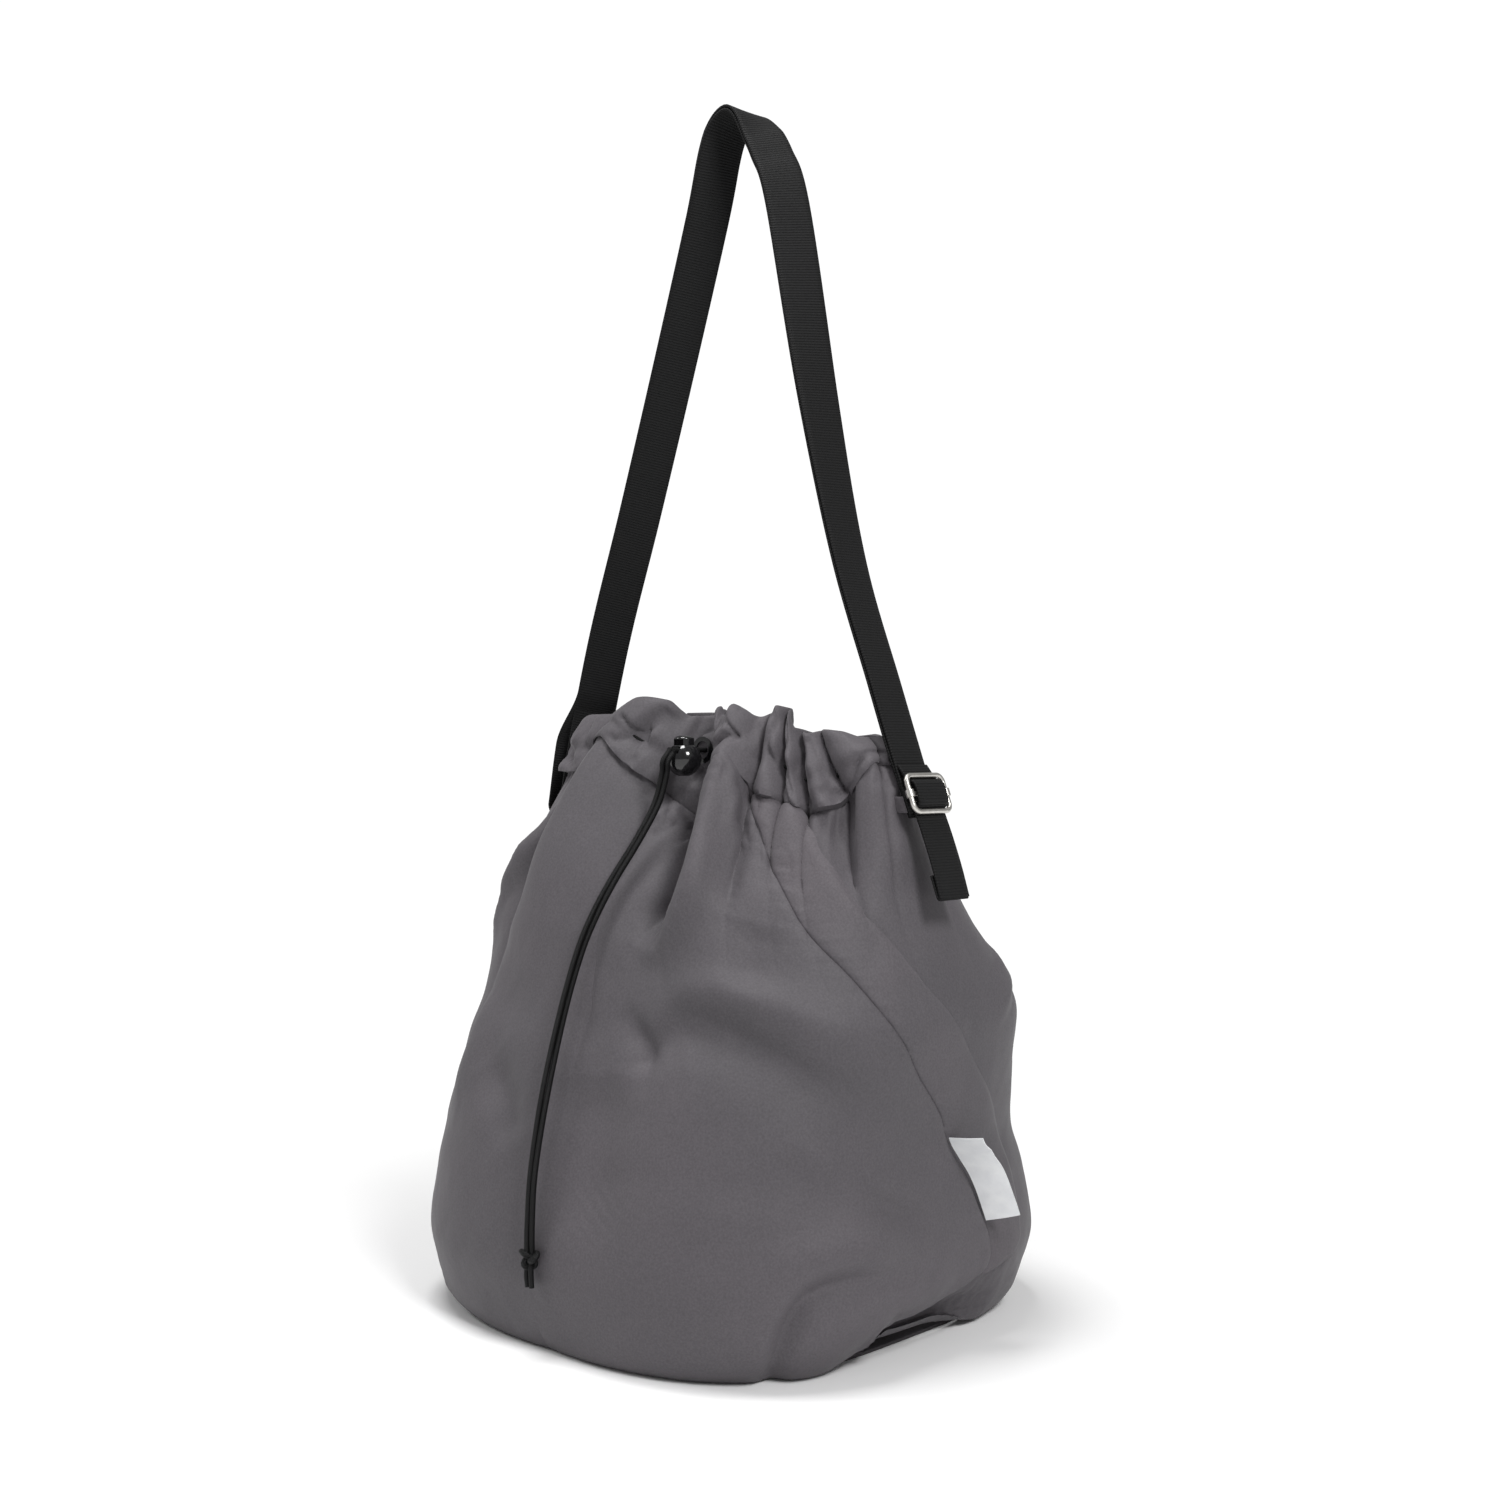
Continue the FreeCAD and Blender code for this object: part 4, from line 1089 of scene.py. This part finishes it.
def strap_mesh():
    line = strap_line()
    tangent = unit(np.gradient(line, axis=0))
    up = np.array([0, 1.0, 0])
    outward = unit(np.cross(tangent, up) * -1)
    height = (line[:, 2] - FOOT[2]) / (TOP - FOOT[2])
    left = line[:, 0] < 8
    twist_left = np.radians(44) * smooth(height, -0.05, 0.14) * (1 - 0.55 * smooth(height, 0.84, 1.0))
    twist_right = np.radians(-30) * smooth(height, 0.25, 0.85) * (1 - 0.35 * smooth(height, 0.88, 1.0))
    twist = np.where(left, twist_left, twist_right)
    kernel = np.ones(21) / 21
    twist = np.convolve(np.pad(twist, 10, mode="edge"), kernel, mode="valid")
    across = up * np.cos(twist)[:, None] + outward * np.sin(twist)[:, None]
    facing = unit(np.cross(across, tangent))
    facing *= np.sign(np.sum(facing * outward, axis=-1))[:, None]
    flare = np.where(left, -12.0 * smooth(0.17 - height, 0.0, 0.08), 1.8 * smooth(0.10 - height, 0.0, 0.10))
    outer = line + facing * (RUN_GAP / 2 + 0.2) + flare[:, None] * np.array([1.0, 0, 0])
    inner = line - facing * (RUN_GAP / 2 + 0.2)
    foot_left = round_foot(outer[0], inner[0])
    foot_right = round_foot(outer[-1], inner[-1])
    ring = np.concatenate([outer, foot_right, inner[::-1], foot_left[::-1]])
    ring_across = np.concatenate([across, np.repeat(across[-1:], len(foot_right), 0), across[::-1],
                                  np.repeat(across[:1], len(foot_left), 0)])
    ring_tangent = unit(np.roll(ring, -1, 0) - np.roll(ring, 1, 0))
    ring_facing = unit(np.cross(ring_tangent, ring_across))
    closed = np.concatenate([ring, ring[:1]])
    return ribbon("shoulder_strap_webbing", closed, np.concatenate([ring_across, ring_across[:1]]),
                  np.concatenate([ring_facing, ring_facing[:1]]), WEB, WEB_THICK, webbing)


def round_foot(start, end):
    """A half turn of webbing below the strap's foot, from the outer run to the inner run."""
    middle = (start + end) / 2
    reach = (start - middle)
    drop = np.array([0, 0, -np.linalg.norm(reach) * 1.2])
    angles = np.linspace(0, math.pi, 12)[1:-1]
    return np.array([middle + reach * math.cos(a) + drop * math.sin(a) for a in angles])


strap = strap_mesh()
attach(strap, "strap")
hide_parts("shoulder_strap")

# ---------------------------------------------------------------- the tail, in the slider's own frame
slide_axis = unit(np.array(next(j["axis"] for j in frame["joints"] if j["name"] == "slider_slide"), float))
slide_out = np.array([slide_axis[2], 0, -slide_axis[0]])
slider_centre = (slider_low + slider_high) / 2


TAIL_LENGTH = 56.0


def slider_ribbon(name, keys, samples, width, thickness):
    """A ribbon along keys of (out from the slider, up along it)."""
    local = smooth_line([(a, 0, b) for a, b in keys], samples)
    centres = slider_centre + local[:, :1] * slide_out + local[:, 2:] * slide_axis
    across = np.repeat([[0, 1.0, 0]], len(centres), 0)
    facing = unit(np.cross(across, unit(np.gradient(centres, axis=0))))
    return ribbon(name, centres, across, facing, width, thickness, webbing)


def tail_mesh():
    """Webbing from behind the frame's top wire, out over the bar, behind the bottom wire, and down."""
    bar = 2.4
    back = -2.45
    keys = [
        (back - 2.6, 17), (back - 1.2, 13.0), (back - 0.2, 10.0), (back + 1.2, 7.7), (bar - 0.7, 5.6),
        (bar, 3.0), (bar + 0.15, 0), (bar, -3.0), (bar - 0.7, -5.6), (back + 1.2, -7.7), (back + 0.1, -9.8),
        (back + 0.2, -13), (back + 0.8, -24), (back + 1.0, -40), (back + 0.4, -TAIL_LENGTH),
    ]
    return slider_ribbon("strap_tail_webbing", keys, 150, WEB - 0.6, WEB_THICK)


def tail_hem():
    """The tail's folded end: a second layer of webbing on its back."""
    start = -TAIL_LENGTH
    keys = [(-3.9, start + 13), (-3.9, start + 4), (-3.6, start + 0.6), (-2.4, start - 0.4)]
    return slider_ribbon("strap_tail_hem", keys, 24, WEB - 0.6, WEB_THICK - 0.2)


tail = tail_mesh()
hem = tail_hem()
for piece in (tail, hem):
    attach(piece, "slider")
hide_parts("strap_tail")

KEPT_NODES = {
    "slider_frame": nickel,
    "slider_bar": nickel,
    "cord_lock_spring": nickel,
    "cord_lock_barrel": gloss_black,
    "cord_lock_plunger": gloss_black,
    "cord_eyelet": gloss_black,
}
for name, material in KEPT_NODES.items():
    part = frame["nodes"][name]
    part.data.materials.clear()
    part.data.materials.append(material)


# ================================================================ cord
CORD = 1.45


def tube(name, centres, radius, material, sides=14, caps=True):
    """A round cord along a line of centres, with frames that don't twist."""
    tangent = unit(np.gradient(centres, axis=0))
    side = np.cross(tangent[0], [0.3, 0.9, 0.2])
    sides_list = []
    for t in tangent:
        side = side - t * np.dot(side, t)
        side = side / np.linalg.norm(side)
        sides_list.append(side)
    side = np.array(sides_list)
    other = np.cross(tangent, side)
    angle = 2 * math.pi * np.arange(sides) / sides
    radius = np.broadcast_to(radius, len(centres))
    ring = (side[:, None] * np.cos(angle)[None, :, None] + other[:, None] * np.sin(angle)[None, :, None])
    points = centres[:, None] + ring * radius[:, None, None]
    rows = len(centres)
    obj = mesh_object(name, points.reshape(-1, 3), rod_faces(rows, sides, caps), material)
    length = lengths_along(centres)
    add_uv(obj, np.repeat(length, sides) * MM, np.tile(angle * radius.mean(), rows) * MM)
    return obj


KNOT = np.array([2.0, tails_low[1] + 7.0, tails_low[2] + 23.5])


def cord_tails():
    """Two strands hanging over the front, side by side and slightly crossing, down to the knot."""
    keys = np.array([
        (CORD_SIDE, tails_high[1] + 3, CORD_HEIGHT), (CORD_SIDE - 1, tails_high[1] - 1.5, CORD_HEIGHT - 6),
        (CORD_SIDE - 3, tails_high[1] - 0.5, CORD_HEIGHT - 13), (11, -73, 281), (8, -84, 262), (3, -98, 240),
        (-1, -108, 221), (-3.5, -116, 202), (-4, -127, 172), (-1.5, -141, 132), (0, -150, 95),
        (1.5, -153.5, 68), KNOT,
    ])
    pieces = []
    for side in (-1, 1):
        line = smooth_line(keys, 260)
        share = np.linspace(0, 1, len(line))
        turn = side * (CORD + 0.05)
        wander = np.sin(share * 9.0) * 0.5
        facing = wander - 0.7
        line = line + np.stack([turn * np.cos(facing), -turn * np.sin(facing), 0 * share], axis=-1)
        pieces.append(tube(f"cord_strand_{'left' if side < 0 else 'right'}", line, CORD, braid))
    return pieces


def cord_knot():
    """An overhand knot in the doubled cord, and its two short free ends."""
    pieces = []
    t = np.linspace(0, 2 * math.pi, 160)
    for strand in (0, 1):
        grow = 1.0 + 0.34 * strand
        x = grow * 2.6 * (np.sin(t) + 1.6 * np.sin(2 * t)) * 0.75
        z = grow * 2.2 * (np.cos(t) - 1.6 * np.cos(2 * t)) * 0.62
        y = -2.0 * np.sin(3 * t)
        line = KNOT + np.stack([x, y, z], axis=-1)
        pieces.append(tube(f"cord_knot_{strand}", line, CORD * 0.95, braid, caps=False))
    for side in (-1, 1):
        keys = KNOT + np.array([(side * 1.0, 0, -2), (side * 1.8, -0.5, -8), (side * 1.6 + 0.5, -0.3, -14.5)])
        name = f"cord_end_{'left' if side < 0 else 'right'}"
        pieces.append(tube(name, smooth_line(keys, 40), CORD * 0.95, braid))
    return pieces


strands = cord_tails()
knot_pieces = cord_knot()
for piece in strands + knot_pieces:
    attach(piece, "cord_tails")
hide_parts("drawstring_tails")


def rim_cord(u0, u1, name):
    """The drawstring inside the casing, half-way between its outer and inner cloth."""
    cloth_rows = casing_piece(u0, u1, 121)
    line = 0.15 * cloth_rows[8] + 0.85 * cloth_rows[38]
    kernel = np.ones(9) / 9
    padded = np.pad(line, ((4, 4), (0, 0)), mode="edge")
    eased = np.stack([np.convolve(padded[:, k], kernel, mode="valid") for k in range(3)], axis=-1)
    return tube(name, eased, 0.8, braid, sides=10)


for quarter, u0, u1, is_front, is_right in QUARTERS:
    rim_length = rim_cord(u0, u1, f"cord_in_rim_{quarter}")
    soft_blend(rim_length)
for side in (-1, 1):
    strand_keys = [(CORD_SIDE + side * (CORD + 0.05), eyelet_high[1] + 1, CORD_HEIGHT),
                   (CORD_SIDE + side * (CORD + 0.05), tails_high[1] + 1.5, CORD_HEIGHT)]
    name = f"cord_in_lock_{'left' if side < 0 else 'right'}"
    strand = tube(name, smooth_line(strand_keys, 30), CORD, braid)
    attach(strand, "front_rim")
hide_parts("drawstring_loop")


# ================================================================ label
def label_mesh():
    """A folded label whose long edge is caught in the band's seam."""
    long = label_high[2] - label_low[2] + 3
    wide = 18.5
    top = 114
    start = np.searchsorted(-edge_z, -top)
    stop = np.searchsorted(edge_length, edge_length[start] + long)
    rows = 24
    columns = 14
    index = np.linspace(start, stop, rows)
    samples = np.arange(EDGE_SAMPLES)
    seam = read_line(index, samples, edge_points)
    normal = unit(read_line(index, samples, edge_normals))
    tangent = unit(np.gradient(seam, axis=0))
    aside = unit(np.cross(normal, tangent))
    aside = aside * np.sign(aside[:, 1].mean())
    across = np.linspace(0, 1, columns)
    lean = np.radians(70)
    out = 2.4 + (across * wide) * np.sin(lean) + 1.0 * np.sin(math.pi * across)
    curl = 0.8 * np.sin(np.linspace(0, 1, rows) * math.pi)
    points = (seam[:, None] + aside[:, None] * (across * wide * np.cos(lean))[None, :, None]
              + normal[:, None] * (out[None, :, None] + curl[:, None, None]))
    normals = grid_normals(points)
    normals = normals * np.sign(np.mean(np.sum(normals * normal[:, None], axis=-1)))
    sheet_points, faces = thicken(points, normals, np.full((rows, columns), 0.7))
    obj = mesh_object("label_tab_cloth", sheet_points, faces, label_cloth)
    along = np.linspace(0, long, rows)[:, None] * np.ones((1, columns)) * MM
    over = (across * wide)[None, :] * np.ones((rows, 1)) * MM
    add_uv(obj, np.tile(along.ravel(), 2), np.tile(over.ravel(), 2))
    return obj


label = label_mesh()
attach(label, "bag")
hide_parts("label_tab")


# ================================================================ tabs that hold the strap's feet
def strap_tab(side, node_name):
    """A strip of the bag's cloth, sewn down at both ends, that passes between the strap's two runs."""
    low, high = box_mm(node_name)
    reach = high[1] - 4
    middle = (low[2] + high[2]) / 2
    lean = unit(np.array([-0.36 * side, 0, 0.93]))
    inner_x = min(abs(low[0]), abs(high[0])) + 0.5
    outer_x = FOOT[0] - 0.38 * (middle - FOOT[2])
    keys = [(inner_x, -reach), (inner_x + 5, -reach + 2.5)]
    keys += [(outer_x, y) for y in (-13, -6, 0, 6, 13)]
    keys += [(inner_x + 5, reach - 2.5), (inner_x, reach)]
    centres = smooth_line([(side * x, y, middle) for x, y in keys], 90)
    across = np.repeat(lean[None], len(centres), 0)
    facing = unit(np.cross(across, unit(np.gradient(centres, axis=0))))
    return ribbon(f"{node_name}_cloth", centres, across, facing, 9.0, 0.6, cloth, rounding=0.2)


for side, node_name in ((-1, "left_strap_tab"), (1, "right_strap_tab")):
    tab = strap_tab(side, node_name)
    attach(tab, "bag")
    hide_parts(node_name)


# ================================================================ floor, light and camera
def studio():
    bpy.ops.mesh.primitive_plane_add(size=60, location=(0, 0, 0))
    floor = bpy.context.object
    floor.name = "floor"
    material, tree, shader = new_material("floor_white")
    connect(tree, shader, {"Base Color": (0.94, 0.94, 0.94, 1), "Roughness": 0.9, "Specular IOR Level": 0.1})
    # away from the bag the floor glows a plain white, so that it meets the backdrop without a line
    where = node(tree, "ShaderNodeNewGeometry").outputs["Position"]
    distance = node(tree, "ShaderNodeVectorMath", {0: where}, operation="LENGTH").outputs["Value"]
    far = node(tree, "ShaderNodeMapRange", {"Value": distance, "From Min": 0.22, "From Max": 0.55},
               interpolation_type="SMOOTHSTEP").outputs[0]
    glow = node(tree, "ShaderNodeEmission", {"Color": (1, 1, 1, 1), "Strength": 1.05}).outputs[0]
    mixed = node(tree, "ShaderNodeMixShader", {0: far, 1: shader.outputs[0], 2: glow}).outputs[0]
    out = next(n for n in tree.nodes if n.type == "OUTPUT_MATERIAL")
    tree.links.new(mixed, out.inputs[0])
    floor.data.materials.append(material)
    world = bpy.data.worlds.new("studio")
    bpy.context.scene.world = world
    world.use_nodes = True
    tree = world.node_tree
    background = tree.nodes["Background"]
    background.inputs[0].default_value = (1, 1, 1, 1)
    seen = node(tree, "ShaderNodeLightPath").outputs["Is Camera Ray"]
    tree.links.new(map_range(tree, seen, 0.30, 1.05), background.inputs[1])
    lights = (
        ("key", (1.6, -0.5, 1.6), 0.6, 30),
        ("side", (-1.4, -1.3, 1.7), 0.6, 11),
        ("top", (-0.2, -0.3, 2.4), 0.8, 30),
    )
    for name, place, span, power in lights:
        data = bpy.data.lights.new(name, "AREA")
        data.energy = power
        data.size = span
        lamp = bpy.data.objects.new(name, data)
        lamp.location = place
        lamp.rotation_euler = (Vector((0, 0, 0.2)) - Vector(place)).to_track_quat("-Z", "Y").to_euler()
        bpy.context.scene.collection.objects.link(lamp)
    bpy.context.scene.view_settings.view_transform = "Standard"
    bpy.context.scene.view_settings.look = "None"


def camera():
    azimuth = math.radians(43)
    distance = 1.035
    height = 0.310
    aside = 0.0086
    forward = np.array([-math.sin(azimuth), math.cos(azimuth), 0])
    right = np.array([math.cos(azimuth), math.sin(azimuth), 0])
    place = -forward * distance + right * aside + np.array([0, 0, height])
    data = bpy.data.cameras.new("camera")
    data.lens = 43.46
    data.sensor_width = 36
    eye = bpy.data.objects.new("camera", data)
    eye.location = place
    eye.rotation_euler = (math.pi / 2, 0, azimuth)
    bpy.context.scene.collection.objects.link(eye)
    bpy.context.scene.camera = eye


studio()
camera()
